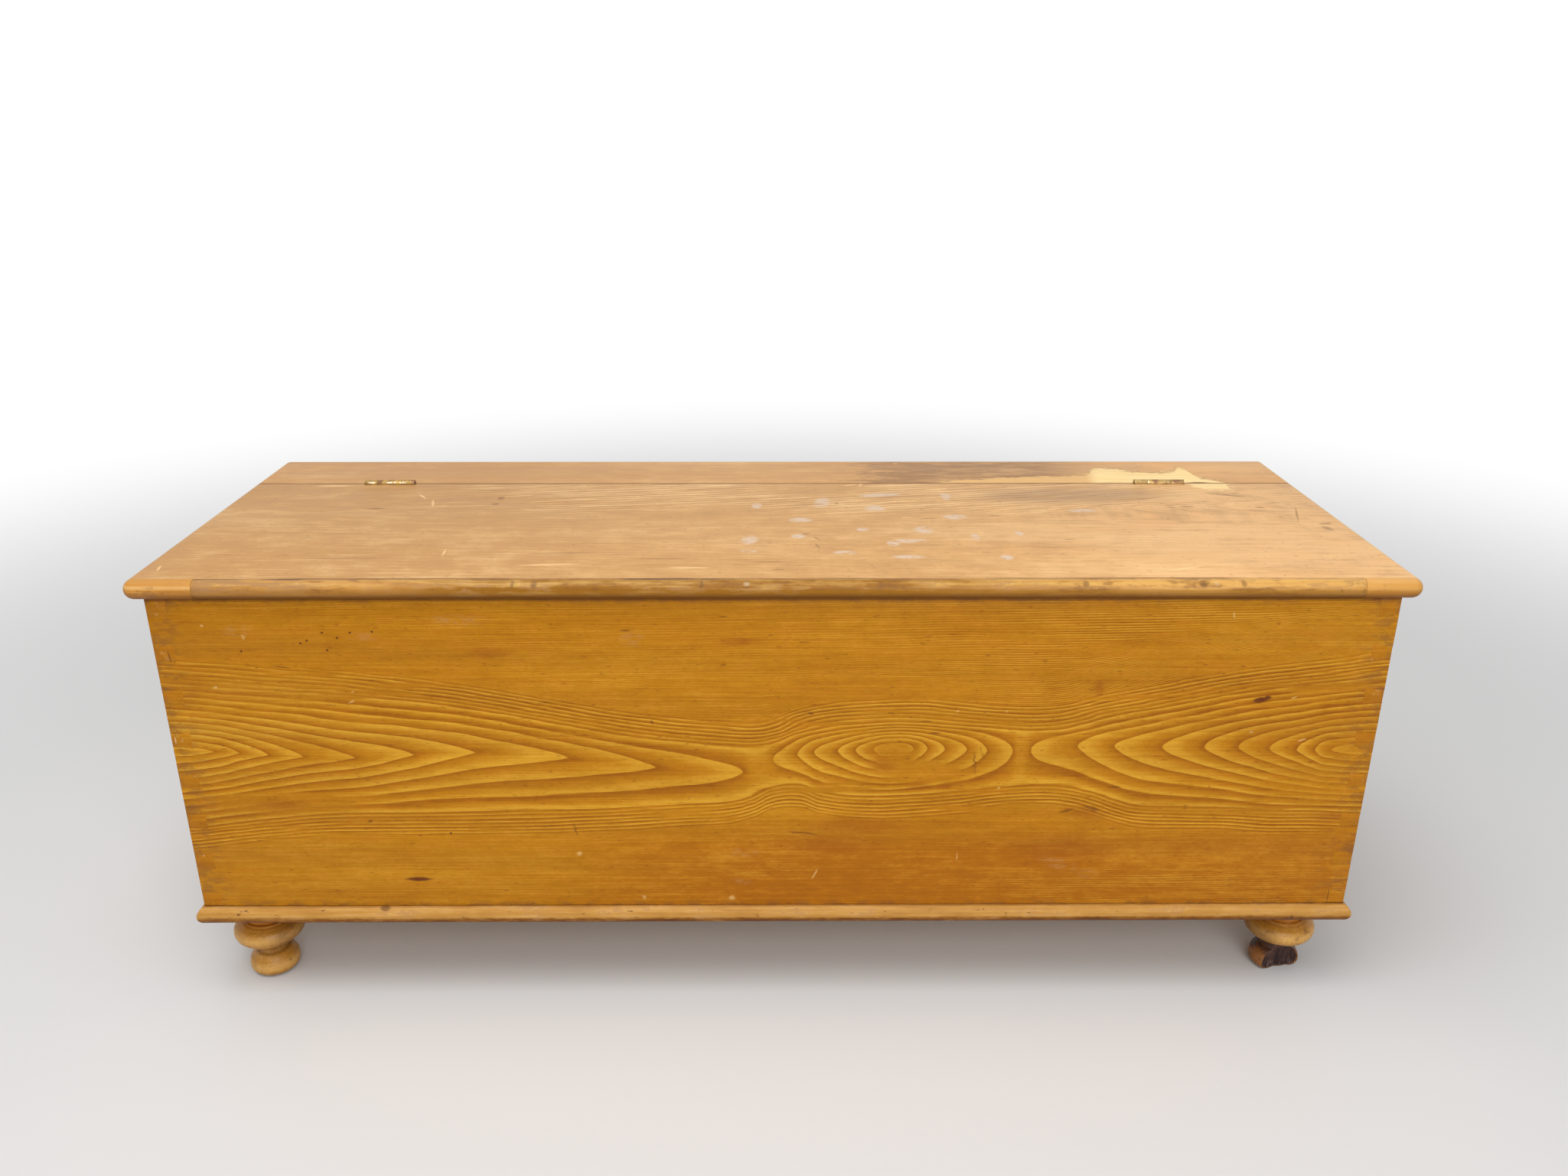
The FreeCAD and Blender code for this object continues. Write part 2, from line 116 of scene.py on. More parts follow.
class Wiring:
    """A node tree as it is being wired."""

    def __init__(self, tree):
        self.tree = tree

    def feed(self, socket, value):
        if isinstance(value, Wire):
            self.tree.links.new(value.socket, socket)
        else:
            socket.default_value = value

    def node(self, kind, settings=None, sockets=None, out=0):
        """Add a node, its settings first, and give back one of its outputs."""
        made = self.tree.nodes.new(kind)
        for setting, value in (settings or {}).items():
            if setting == "points":
                bend_curve(made.mapping, value)
            else:
                setattr(made, setting, value)
        for socket, value in (sockets or {}).items():
            self.feed(made.inputs[socket], value)
        return Wire(self, made.outputs[out])


class Finish(Wiring):
    """A material as it is being wired, with the colour laid so far."""

    def __init__(self, name, shine=0.5, **constants):
        self.material = bpy.data.materials.new(name)
        self.material.use_nodes = True
        super().__init__(self.material.node_tree)
        self.shader = self.tree.nodes["Principled BSDF"]
        self.shader.inputs["Specular IOR Level"].default_value = shine
        for socket, value in constants.items():
            self.shader.inputs[socket.replace("_", " ")].default_value = value
        self.at = self.node("ShaderNodeTexCoord", out="Object")
        self.colour = None

    def split(self, vector):
        apart = self.tree.nodes.new("ShaderNodeSeparateXYZ")
        self.feed(apart.inputs[0], vector)
        return [Wire(self, part) for part in apart.outputs]

    def join(self, x, y, z):
        return self.node("ShaderNodeCombineXYZ", None, {0: x, 1: y, 2: z})

    def length(self, vector):
        return self.node("ShaderNodeVectorMath", {"operation": "LENGTH"}, {0: vector}, "Value")

    def placed(self, vector, where=(0, 0, 0), turn=(0, 0, 0), size=(1, 1, 1)):
        """The vector as seen from a place with its own turn and sizes."""
        sockets = {"Vector": vector, "Location": where, "Rotation": turn, "Scale": size}
        return self.node("ShaderNodeMapping", {"vector_type": "TEXTURE"}, sockets)

    def noise(self, vector, size, detail=2.0, roughness=0.5, shift=(0, 0, 0)):
        """Cloudy noise from 0 to 1, in lumps of the given size along X, Y and Z."""
        near = self.placed(vector, shift, size=size)
        sockets = {"Vector": near, "Scale": 1, "Detail": detail, "Roughness": roughness}
        return self.node("ShaderNodeTexNoise", None, sockets, "Fac")

    def rise(self, value, low, high):
        """0 below low, 1 above high and smooth between. High may be the lower of the two."""
        sockets = {"Value": value, "From Min": low, "From Max": high}
        return self.node("ShaderNodeMapRange", {"interpolation_type": "SMOOTHSTEP"}, sockets)

    def fade(self, value, place, low, high):
        """A rise between two distances from a place, in millimetres."""
        return self.rise(value, place + low * MM, place + high * MM)

    def curve(self, value, points):
        """A smooth line through given points, both ways from 0 to 1."""
        return self.node("ShaderNodeFloatCurve", {"points": points}, {"Value": value})

    def blend(self, share, under, over):
        """A colour laid over another by a share from 0 to 1. Plain colours are as a screen shows them."""
        under, over = (tint(*colour) if isinstance(colour, tuple) else colour for colour in (under, over))
        return self.node("ShaderNodeMix", {"data_type": "RGBA"}, {0: share, 6: under, 7: over}, 2)

    def lay(self, share, colour):
        """Lay a colour over the finish so far, by a share."""
        self.colour = self.blend(share, self.colour, colour)

    def spot(self, vector, where, size, turn=(0, 0, 0), edge=0.35):
        """1 inside an ellipsoid of the half sizes `size`, 0 outside, with a soft edge."""
        near = self.placed(vector, where, turn, size)
        return self.rise(self.length(near), 1, 1.0 - edge)

    def spots(self, vector, places, edge=0.35):
        """The largest of several spots, each a place, half sizes and a turn."""
        each = [self.spot(vector, *place, edge) for place in places]
        return functools.reduce(Wire.at_least, each)

    def surface(self, roughness, height, depth):
        """Feed the shader the colour laid, a roughness and a relief whose full height is depth."""
        bumped = self.node("ShaderNodeBump", None, {"Strength": 1, "Distance": depth, "Height": height})
        self.feed(self.shader.inputs["Base Color"], self.colour)
        self.feed(self.shader.inputs["Roughness"], roughness)
        self.feed(self.shader.inputs["Normal"], bumped)
        return self.material


def marks(kind, *rows):
    """Several marks of one kind, each made from its own row."""
    return [kind(*row) for row in rows]


def bend_curve(mapping, points):
    """Set a Float Curve node's line through the given points."""
    line = mapping.curves[0]
    for dot, place in zip(line.points, (points[0], points[-1])):
        dot.location = place
    for place in points[1:-1]:
        line.points.new(*place)
    mapping.update()


def tint(red, green, blue):
    """A screen's colour, each part from 0 to 255, in the linear values that a shader takes."""
    linear = []
    for part in (red, green, blue):
        share = part / 255
        linear.append(share / 12.92 if share <= 0.04045 else ((share + 0.055) / 1.055) ** 2.4)
    return (*linear, 1)


# ---- pine in general

QUARTER = math.pi / 2
ALONG_X = (0, 0, 0)
ALONG_Y = (0, 0, QUARTER)
ALONG_Z = (0, -QUARTER, 0)
GRIME = (118, 84, 50)
INSIDE_WOOD = ((146, 100, 56), (190, 146, 94), (214, 174, 124))


def growth_rings(f, at, heart, pitch, sway, wave=0.45):
    """The place within one ring, from 0 to 1, about a heart that wanders along the first axis of `at`."""
    x, y, z = f.split(at)
    wander = f.noise(f.join(x, 0, 0), (wave, wave, wave), 1)
    stray = f.noise(f.join(x, 7, 0), (wave * 0.7, wave, wave), 1)
    off_y = y - heart[0] - (wander - 0.5) * sway
    off_z = z - heart[1] - (stray - 0.5) * sway * 1.6
    reach = (off_y * off_y + off_z * off_z) ** 0.5
    ripple = f.noise(at, (0.3, 0.02, 0.02), 2) - 0.5
    return (reach / pitch + ripple * 1.4).fraction()


def ring_shade(f, within, late=0.34):
    """How dark one ring is: it darkens slowly into its late wood and ends sharply."""
    return f.rise(within, 1.0 - late, 0.97) * f.rise(within, 1, 0.975)


def bare_pine(name, pale, dark, grain, heart, pitch, sway, ends=1.0):
    """Dull pine without a finish: soft rings, fibre and old dirt, and varnish run over it past `ends`."""
    f = Finish(name, shine=0.25)
    at = f.placed(f.at, turn=grain)
    within = growth_rings(f, at, heart, pitch, sway)
    shade = ring_shade(f, within)
    strand = f.noise(at, (0.045, 0.0009, 0.0009), 3, 0.6)
    pores = f.rise(f.noise(at, (0.009, 0.0016, 0.0016), 1), 0.7, 0.8)
    f.colour = f.blend(shade * 0.75, pale, dark)
    f.lay((strand - 0.5).size() * 0.9, dark)
    cloud = f.noise(at, (0.2, 0.045, 0.045), 5, 0.68)
    f.lay(f.rise(cloud, 0.46, 0.7) * 0.4, GRIME)
    f.lay(pores * 0.6, GRIME)
    varnish = f.fade(f.split(f.at)[0].size(), ends, -3, -1)
    f.lay(varnish * (0.5 + cloud * 0.6), (172, 112, 34))
    return f.surface(0.62 + (cloud - 0.5) * 0.2, strand * 0.5 - shade * 0.5, 0.35 * MM)


def veneer(f, tone, deep, middle, pale):
    """One wood from its deepest colour at a tone of -1, through its middle at 0, to its palest at 1."""
    return f.blend(tone, f.blend(tone * -1, middle, deep), pale)


# ---- the front board's figure

# The tone outwards across one ring, from 0 for darkest to 1 for palest: a dark line, orange, then pale up
# to the next. The first is for the wide arches, the second for close lines.
ARCH_LINE = (
    (0, 0.22), (0.03, 0.06), (0.1, 0.14), (0.22, 0.34), (0.4, 0.5), (0.55, 0.62), (0.7, 0.8), (0.85, 0.9),
    (0.97, 0.95), (0.99, 0.88), (1, 0.4),
)
FLANK_LINE = (
    (0, 0.3), (0.08, 0.08), (0.24, 0.12), (0.4, 0.38), (0.56, 0.56), (0.7, 0.74), (0.84, 0.96),
    (0.94, 0.92), (1, 0.4),
)

FIGURE_SPAN = 660
FIGURE_BASE = 100
FIGURE_RISE = 400
RINGS_TO_RIDGE = 11
RING_SCALE = 12

# The line that every arch and eye is centred on: place along the board and height, in millimetres.
HEART_LINE = (
    (-650, 316), (-600, 315), (-549, 312), (-512, 310), (-456, 308), (-392, 312), (-325, 314), (-225, 307),
    (-130, 295), (-35, 288), (-18, 291), (-3, 304), (24, 311), (60, 315), (130, 318), (200, 317),
    (258, 313), (285, 316), (328, 320), (400, 319), (503, 318), (567, 315), (650, 315),
)
# The innermost of the close lines that run the whole length, above and below it.
UPPER_RIDGE = (
    (-650, 398), (-600, 394), (-500, 387), (-400, 377), (-350, 371), (-300, 362), (-250, 352), (-200, 342),
    (-150, 333), (-100, 327), (-60, 324), (-20, 322), (0, 326), (25, 337), (50, 343), (100, 348),
    (150, 350), (200, 346), (250, 342), (300, 342), (330, 348), (350, 354), (400, 364), (450, 374),
    (500, 384), (550, 391), (600, 398), (650, 405),
)
LOWER_RIDGE = (
    (-650, 222), (-600, 228), (-550, 234), (-500, 238), (-400, 240), (-300, 241), (-200, 244), (-100, 250),
    (-50, 253), (-25, 260), (0, 272), (25, 274), (50, 265), (100, 259), (150, 261), (200, 265), (250, 272),
    (300, 274), (320, 272), (350, 264), (380, 253), (400, 248), (450, 246), (500, 244), (550, 240),
    (600, 240), (650, 238),
)
# Where the tip of each ring crosses the heart line, from the innermost ring of each nest outwards.
LEFT_NEST_TIPS = (-607, -580, -549, -512, -456, -392, -325, -225, -130, -35)
EYE_LEFT_TIPS = (107, 87, 68, 42, 24, -3)
EYE_RIGHT_TIPS = (150, 165, 184, 208, 230, 258)
RIGHT_NEST_TIPS = (605, 587, 567, 537, 503, 466, 420, 368, 328, 277)


def ring_tips():
    """Ring count along the heart line: up through the left nest, down into the eye, up and down again."""
    eye_first = RINGS_TO_RIDGE - len(EYE_LEFT_TIPS)
    tips = [(-650, 0.3), (-18, 10.4), (129, eye_first - 0.6), (267, 10.4), (650, 0.3)]
    for nest in (LEFT_NEST_TIPS, RIGHT_NEST_TIPS):
        tips += [(place, count) for count, place in enumerate(nest, 1)]
    for half in (EYE_LEFT_TIPS, EYE_RIGHT_TIPS):
        tips += [(place, count) for count, place in enumerate(half, eye_first)]
    return sorted(tips)


def along_board(f, run, places, base, rise):
    """A line read off listed places along the board, in the places' own units."""
    points = [((x + FIGURE_SPAN) / (2 * FIGURE_SPAN), (y - base) / rise) for x, y in places]
    points = [(-0.001, points[0][1])] + points + [(1.001, points[-1][1])]
    points = [(min(max(x, 0), 1), y) for x, y in points]
    return f.curve(run, points) * rise + base


def front_figure(f):
    """The figure of the wide front board: two nests of arches and an eye between close lines. Gives the
    ring count, how far out towards the close lines, the fine lines beyond, their share and the side."""
    x, y, z = f.split(f.at)
    drift = f.noise(f.at, (0.16, 0.05, 0.03), 3) - 0.5
    ripple = f.noise(f.at, (0.1, 0.03, 0.012), 2) - 0.5
    run = (x + FIGURE_SPAN * MM) / (2 * FIGURE_SPAN * MM)
    level = z / MM + drift * 6.0 + ripple * 1.6
    heart, upper, lower = (
        along_board(f, run, line, FIGURE_BASE, FIGURE_RISE)
        for line in (HEART_LINE, UPPER_RIDGE, LOWER_RIDGE)
    )
    tip = along_board(f, run, ring_tips(), 0, RING_SCALE)
    above = level.past(heart)
    half = (upper - heart) * above + (heart - lower) * (1 - above)
    away = (level - heart).size()
    share = (away / half).at_most(1)
    right = f.rise(x, -0.06, 0.01)
    bow = (1.5 + right * 0.45) * above + (1.08 + right * 0.32) * (1 - above)
    tip_bowed = tip ** bow
    nested = (tip_bowed + (share ** bow) * (RINGS_TO_RIDGE ** bow - tip_bowed)) ** (1.0 / bow)
    beyond = (away - half).at_least(0)
    fan = f.rise(x, -0.38, -0.64)
    depth = (y - FRONT_FACE) / (6 * MM)
    count = nested + beyond / (4.6 + fan * above * 0.8) + depth + ripple * f.rise(share, 0.3, 0.8) * 0.5
    flat = f.rise(beyond, 20, 90)
    bent = (upper * above + lower * (1 - above)) * (1 - flat) + flat * 330.0
    fine = (level - bent - x * 14) / 2.9 + depth
    outer = f.rise(beyond, 25, 33)
    return count, share, fine.fraction(), outer, above, x, y, z


def spindle(x, z, long, high, turn=0):
    """A mark on the front board: its place and half sizes in millimetres and its turn in degrees."""
    where = (x * MM, FRONT_FACE, z * MM)
    return where, (long * MM, 12 * MM, high * MM), (0, math.radians(-turn), 0)


KNOTS = marks(spindle, (-403, 153, 19, 3.6, 1), (519, 376, 11, 4.6, 14), (527, 379, 4.5, 3.2))
WORM_HOLES = marks(
    lambda x, z: spindle(x, z, 1.7, 1.7), (-472, 456), (-457, 450), (-443, 456), (-420, 457), (-496, 444),
    (-489, 447), (-469, 436), (-559, 435), (-361, 213),
)
DARK_NICKS = marks(
    spindle, (-448, 229, 4, 2.6, 20), (37, 361, 3.4, 1.9, 25), (-132, 351, 2.2, 3.6),
    (-222, 217, 1.6, 12, 12), (-55, 473, 7, 1.4), (-157, 458, 8, 1.6), (31, 212, 24, 2.2, -8),
    (350, 243, 13, 3.2, -14), (322, 240, 11, 2.4, 16), (374, 270, 8, 2.4), (217, 303, 1.2, 17, 6),
    (160, 451, 5, 1), (172, 337, 9, 2), (30, 445, 6, 1), (-520, 417, 16, 1.1, -6), (39, 361, 4, 2.4, 10),
    (162, 351, 9, 1.2), (223, 317, 1, 5), (218, 293, 1.1, 10, 15),
)
PALE_NICKS = marks(
    spindle, (-595, 464, 2.6, 2.2), (-555, 451, 2.4, 3.8, 30), (-451, 376, 4.4, 1.6, 20),
    (-593, 393, 3.2, 2.4), (45, 159, 1.3, 10, -24), (204, 181, 1.1, 7, 4), (478, 474, 1.3, 6, 4),
    (515, 338, 3, 2), (571, 328, 5, 1.6, 20), (197, 364, 1.8, 1.8), (-49, 127, 4, 4.6), (-150, 128, 3, 4),
    (-220, 186, 5, 4, 30), (555, 379, 4, 1.2, 20), (-448, 388, 3, 1), (249, 363, 2.2, 1.6),
    (245, 269, 2, 1.8),
)
BLOOM = marks(
    spindle, (318, 172, 30, 11, -18), (-37, 149, 14, 6, -10), (352, 158, 16, 8), (-560, 458, 20, 10),
    (-430, 452, 22, 8), (-330, 470, 40, 9), (-36, 187, 26, 8), (-150, 448, 18, 12),
)
RED_SMUDGES = marks(
    spindle, (117, 298, 24, 11, -10), (186, 271, 14, 5), (158, 272, 20, 7), (345, 236, 36, 12, -12),
    (90, 222, 80, 16), (60, 196, 90, 20), (345, 392, 10, 14), (620, 232, 34, 9), (-40, 445, 28, 8),
    (-300, 432, 34, 9), (320, 190, 90, 26), (-545, 250, 46, 9), (-500, 300, 24, 3, 10),
)


# Where the rings fade: place along and up the board and half sizes in millimetres, turn in radians, how
# soft the edge is and what share is lost.
FADED_FIGURE = (
    (-540, 252, 140, 19, 0, 0.6, 0.85), (158, 291, 70, 19, 0.08, 0.5, 1), (129, 315, 30, 13, 0.08, 0.6, 1),
    (600, 270, 110, 34, 0, 0.7, 0.55), (640, 315, 55, 30, 0, 0.6, 0.5), (-12, 298, 20, 20, 0, 0.7, 0.6),
    (-560, 400, 190, 45, 0, 0.6, 0.45),
)


def varnished(f, at, figure, low=0.0):
    """Old varnish over pine: its figure, streaks, threads, mottling and clouds, redder where `low` is 1."""
    coarse = f.noise(at, (0.15, 0.014, 0.0032), 4, 0.6) - 0.5
    thread = f.noise(at, (0.1, 0.0013, 0.0013), 2, 0.62, (1, 0, 0)) - 0.5
    mottle = f.noise(at, (0.04, 0.02, 0.014), 4, 0.68, (0, 2, 0)) - 0.5
    cloud = f.noise(at, (0.3, 0.1, 0.1), 3, 0.55, (3, 1, 2)) - 0.5
    speckle = f.noise(at, (0.006, 0.004, 0.003), 2, 0.6, (2, 2, 0)) - 0.5
    tone = figure + coarse * 0.55 + thread + mottle * 1.15 + cloud * 0.8 + speckle * 0.5
    f.colour = f.blend(low, (183, 120, 12), (173, 104, 7))
    f.lay(f.rise(mottle, -0.02, 0.12) * 0.5, (181, 108, 11))
    f.colour = veneer(f, tone, (146, 80, 3), f.colour, (216, 160, 46))
    return coarse, thread, mottle, cloud


def front_pine():
    """Old varnish over the figured front board, bare and brown inside the chest."""
    f = Finish("front_pine", shine=0.14)
    count, share, fine, outer, above, x, y, z = front_figure(f)
    within = count.fraction()
    stretch = f.noise(f.at, (0.11, 0.05, 0.01), 2, 0.5, (0, 4, 1))
    own = f.node("ShaderNodeTexWhiteNoise", {"noise_dimensions": "1D"}, {"W": count.maths("FLOOR", count)})

    clear = 1.0
    for along, up, long, high, turn, edge, loss in FADED_FIGURE:
        where = (along * MM, FRONT_FACE, up * MM)
        faint = f.spot(f.at, where, (long * MM, 0.1, high * MM), (0, turn, 0), edge)
        clear = clear * (1 - faint * loss)
    nest = f.rise(share, 0.75, 0.35)
    uneven = (0.45 + own * 0.65) * f.rise(stretch, 0.27, 0.48)
    strength = clear * (uneven * (1 - nest) + nest * (0.62 + own * 0.38)) * (1 - outer)
    ring = f.curve(within, ARCH_LINE) * nest + f.curve(within, FLANK_LINE) * (1 - nest)
    ring_tone = (ring * 2.0 - 1) * strength

    fine_share = outer * (0.2 + f.rise(x, 0.06, 0.33) * 0.45) * (0.35 + above * 0.65)
    fine_share = fine_share * (0.25 + f.rise(stretch, 0.4, 0.58) * 0.75)
    fine_tone = (f.curve(fine, FLANK_LINE) * 2.0 - 1) * fine_share

    low = f.rise(z, 0.24, 0.175) * f.rise(x, -0.32, -0.02)
    coarse, thread, mottle, cloud = varnished(f, f.at, ring_tone * 0.86 + fine_tone, low)

    blur = f.noise(f.at, (0.012, 0.012, 0.005), 3, 0.65)
    red = f.spots(f.at, RED_SMUDGES, 0.8) * (0.3 + blur)
    f.lay(red * 0.55, (150, 78, 10))
    haze = f.spots(f.at, BLOOM, 0.8) * f.rise(blur, 0.38, 0.62)
    f.lay(haze * 0.38, (186, 136, 84))
    ragged = f.join(x + (blur - 0.5) * 0.01, y, z + (blur - 0.5) * 0.004)
    nick = f.spots(ragged, DARK_NICKS, 0.7) * (0.35 + blur * 0.7)
    f.lay(nick, (116, 66, 22))
    pale = f.spots(ragged, PALE_NICKS, 0.7) * (0.25 + blur * 0.8)
    f.lay(pale, (222, 178, 108))
    knot = f.spots(ragged, KNOTS, 0.55) * (0.5 + blur * 0.8)
    f.lay(knot, (98, 46, 16))
    f.lay(f.spots(f.at, WORM_HOLES, 0.5) * 0.85, (84, 42, 14))

    rim = f.fade(z, LID_UNDER, -12, 0) + f.fade(z, MOULDING_TOP, 10, 0)
    ends = f.rise(x.size(), 0.6, 0.648)
    soil = f.noise(f.at, (0.02, 0.01, 0.009), 4, 0.66)
    dirt = (rim * 0.6 + ends * 0.55) * f.rise(soil, 0.45, 0.6)
    f.lay(dirt, (132, 84, 38))
    crack = f.fade(z, MOULDING_TOP, 1.6, 0.4)
    f.lay(crack * (0.2 + soil * 0.7), (110, 66, 28))
    # Painted shadow: a dark band on the board just under the lid.
    painted_shadow_under_lid = f.fade(z, LID_UNDER, -6, -2)
    f.lay(painted_shadow_under_lid * 0.75, (98, 54, 14))
    dash = f.rise(f.noise(f.at, (0.01, 0.01, 0.0018), 1), 0.68, 0.76)
    f.lay(dash * 0.5, (120, 66, 16))

    inside = f.fade(y, FRONT_FACE, 1.5, 4) * f.fade(x.size(), END_INSIDE, 0, -1)
    f.lay(inside, veneer(f, ring_tone * 0.4 + thread * 1.4 + cloud, *INSIDE_WOOD))

    rough = 0.42 + mottle * 0.25 + haze * 0.2 + inside * 0.25 + nick * 0.2
    height = ring * strength * 0.6 + thread * 0.35 + coarse * 0.2
    return f.surface(rough, height, 0.7 * MM)


# ---- the other varnished boards

PIN_STROKES = marks(spindle, (-635, 428, 0.9, 13, 6), (631, 130, 1, 16), (-638, 154, 9, 6), (638, 352, 1, 8))
PIN_CHIPS = marks(
    spindle, (-645, 195, 2, 2.6), (-640, 185, 1.4, 1.8), (646, 300, 1.2, 4), (-646, 330, 1.2, 5),
)


def end_pine():
    """The end boards: the front's varnish outside, end grain on the pins, bare wood inside."""
    f = Finish("end_pine", shine=0.16)
    x, y, z = f.split(f.at)
    at = f.join(y + x * 0.7, x.size(), z)
    within = growth_rings(f, at, (0.555, 0.32), 3.4 * MM, 0.05, 0.5)
    shade = ring_shade(f, within, 0.45)
    pins = f.fade(y, FRONT_FACE, 6, 2) + f.fade(y, back_high.y, -6, -2)
    speck = f.noise(f.at, (0.0026, 0.0026, 0.0016), 3, 0.7) - 0.5
    figure = (1 - pins) * (0.15 - shade * 0.75) - pins * (0.22 - speck * 0.9)
    grain = f.blend(pins, at, f.at)
    low = f.rise(z, 0.22, 0.15) * 0.35
    _, thread, mottle, cloud = varnished(f, grain, figure, low)
    soil = f.noise(f.at, (0.012, 0.01, 0.01), 4, 0.66)
    rim = f.fade(z, LID_UNDER, -12, 0) + f.fade(x.size(), END_FACE, -7, -1) * 0.6
    f.lay(rim * f.rise(soil, 0.42, 0.58) * pins * 0.6, (136, 88, 42))
    stroke = f.spots(f.at, PIN_STROKES, 0.6)
    f.lay(stroke * 0.75, (104, 60, 26))
    f.lay(f.spots(f.at, PIN_CHIPS, 0.5) * 0.8, (214, 172, 116))
    # Painted shadow: a dark band just under the lid. The same band also darkens the bare inside and takes
    # part in the relief.
    painted_shadow_under_lid = f.fade(z, LID_UNDER, -6, -2)
    f.lay(painted_shadow_under_lid * 0.7, (98, 54, 14))
    scuff = f.rise(f.noise(f.at, (0.012, 0.05, 0.012), 3, 0.65), 0.6, 0.7)
    f.lay(scuff * 0.35, (206, 158, 98))
    dirt = f.fade(z, MOULDING_TOP, 30, 0) * f.rise(cloud, -0.1, 0.1) * (1 - pins)
    f.lay(dirt * 0.5, (120, 78, 40))
    crack = f.fade(z, MOULDING_TOP, 2.2, 0.4)
    f.lay(crack * 0.8, (86, 48, 20))
    within_case = f.fade(y, FRONT_INSIDE, -1, 1) * f.fade(y, back_low.y, 1, -1)
    inside = f.fade(x.size(), END_INSIDE, 2.5, 0.5) * within_case
    f.lay(inside, veneer(f, thread * 1.6 - painted_shadow_under_lid * 0.6 + cloud, *INSIDE_WOOD))
    rough = 0.42 + mottle * 0.25 + inside * 0.25
    return f.surface(rough, thread * 0.5 - painted_shadow_under_lid * 0.4 - scuff * 0.3, 0.45 * MM)


def worn_top(f, at):
    """The dry, rubbed face of the lid and rail before its marks: its colour and the fields behind it."""
    x, y, z = f.split(f.at)
    streak = f.noise(at, (0.2, 0.0075, 0.02), 4, 0.62) - 0.5
    thread = f.noise(at, (0.07, 0.0022, 0.0022), 2, 0.6, (1, 0, 0)) - 0.5
    mottle = f.noise(at, (0.04, 0.028, 0.03), 5, 0.7, (0, 2, 0)) - 0.5
    cloud = f.noise(f.at, (0.25, 0.08, 0.1), 3, 0.55, (3, 1, 2)) - 0.5
    fibre = f.noise(at, (0.024, 0.0028, 0.01), 3, 0.66, (6, 1, 0)) - 0.5
    tone = streak * 0.25 + thread * 1.3 + mottle * 1.5 + cloud * 1.2 + fibre * 0.4
    middle = f.blend(f.rise(x, -0.45, 0), (192, 145, 90), (204, 156, 99))
    middle = f.blend(f.rise(x, 0.05, 0.6), middle, (233, 184, 126))
    right = f.rise(x, -0.1, 0.45)
    middle = f.blend(f.rise(mottle, 0, 0.14) * 0.4 * right, middle, (222, 162, 104))
    tone = tone * (0.66 + right * 0.24)
    return middle, tone, streak, thread, mottle, cloud, x, y, z


def rubbed(f, tone, middle):
    """Rubbed wood about a middle colour, browner below and creamier above."""
    return veneer(f, tone, (158, 106, 56), middle, (250, 212, 156))


def blot(x, y, long, wide, turn=0):
    """A mark on the top: its place and half sizes in millimetres and its turn in degrees."""
    where = (x * MM, y * MM, LID_TOP)
    return where, (long * MM, wide * MM, 6 * MM), (0, 0, math.radians(turn))


WHITE_BLOOM = marks(
    blot, (-28, -96, 12, 20, -8), (-29, -134, 12, 6), (30, -25, 17, 11), (26, -84, 10, 10),
    (58, 45, 12, 26, -12), (130, 74, 34, 9, 10), (212, 68, 8, 20), (212, -14, 18, 13), (225, -88, 7, 14),
    (131, -109, 9, 12), (76, -139, 16, 8), (144, -153, 22, 7), (277, -75, 6, 10), (249, -155, 9, 10),
    (369, 10, 22, 8), (170, -62, 14, 16), (120, 20, 16, 16), (150, -100, 26, 9), (-22, 30, 8, 14),
    (100, -60, 10, 8),
)
DARK_DASHES = marks(
    blot, (35, -76, 7, 3, 24), (47, -92, 2, 9, 30), (47, -118, 1.8, 13, 14), (-6, -169, 24, 2.2),
    (4, -192, 9, 2.2), (75, 40, 3, 5), (-6, -106, 4, 2), (635, -58, 7, 12, 20), (620, -6, 2, 38, -18),
    (560, 74, 30, 4, -22), (-545, 150, 14, 4), (-338, 62, 6, 10), (-340, 38, 6, 6), (330, -96, 10, 2),
    (500, 26, 12, 4), (586, 22, 9, 4), (-460, -155, 70, 2), (-120, -158, 44, 1.8), (260, -10, 10, 2.4),
    (180, -20, 18, 2.2, 8), (-230, -140, 50, 1.8, 2), (-480, 20, 18, 5), (640, -40, 12, 5, 16),
)
PALE_LINES = marks(
    blot, (-437, 70, 2.4, 16, 36), (-417, 42, 2.4, 20, 14), (-359, -138, 1.6, 16, 4),
    (-645, -186, 2, 12, 12), (-560, 116, 30, 4), (110, 122, 3, 14, -20), (96, 118, 14, 3, 20),
    (430, -190, 26, 4, 18), (-240, -176, 40, 3, 4), (-90, -186, 30, 3),
)


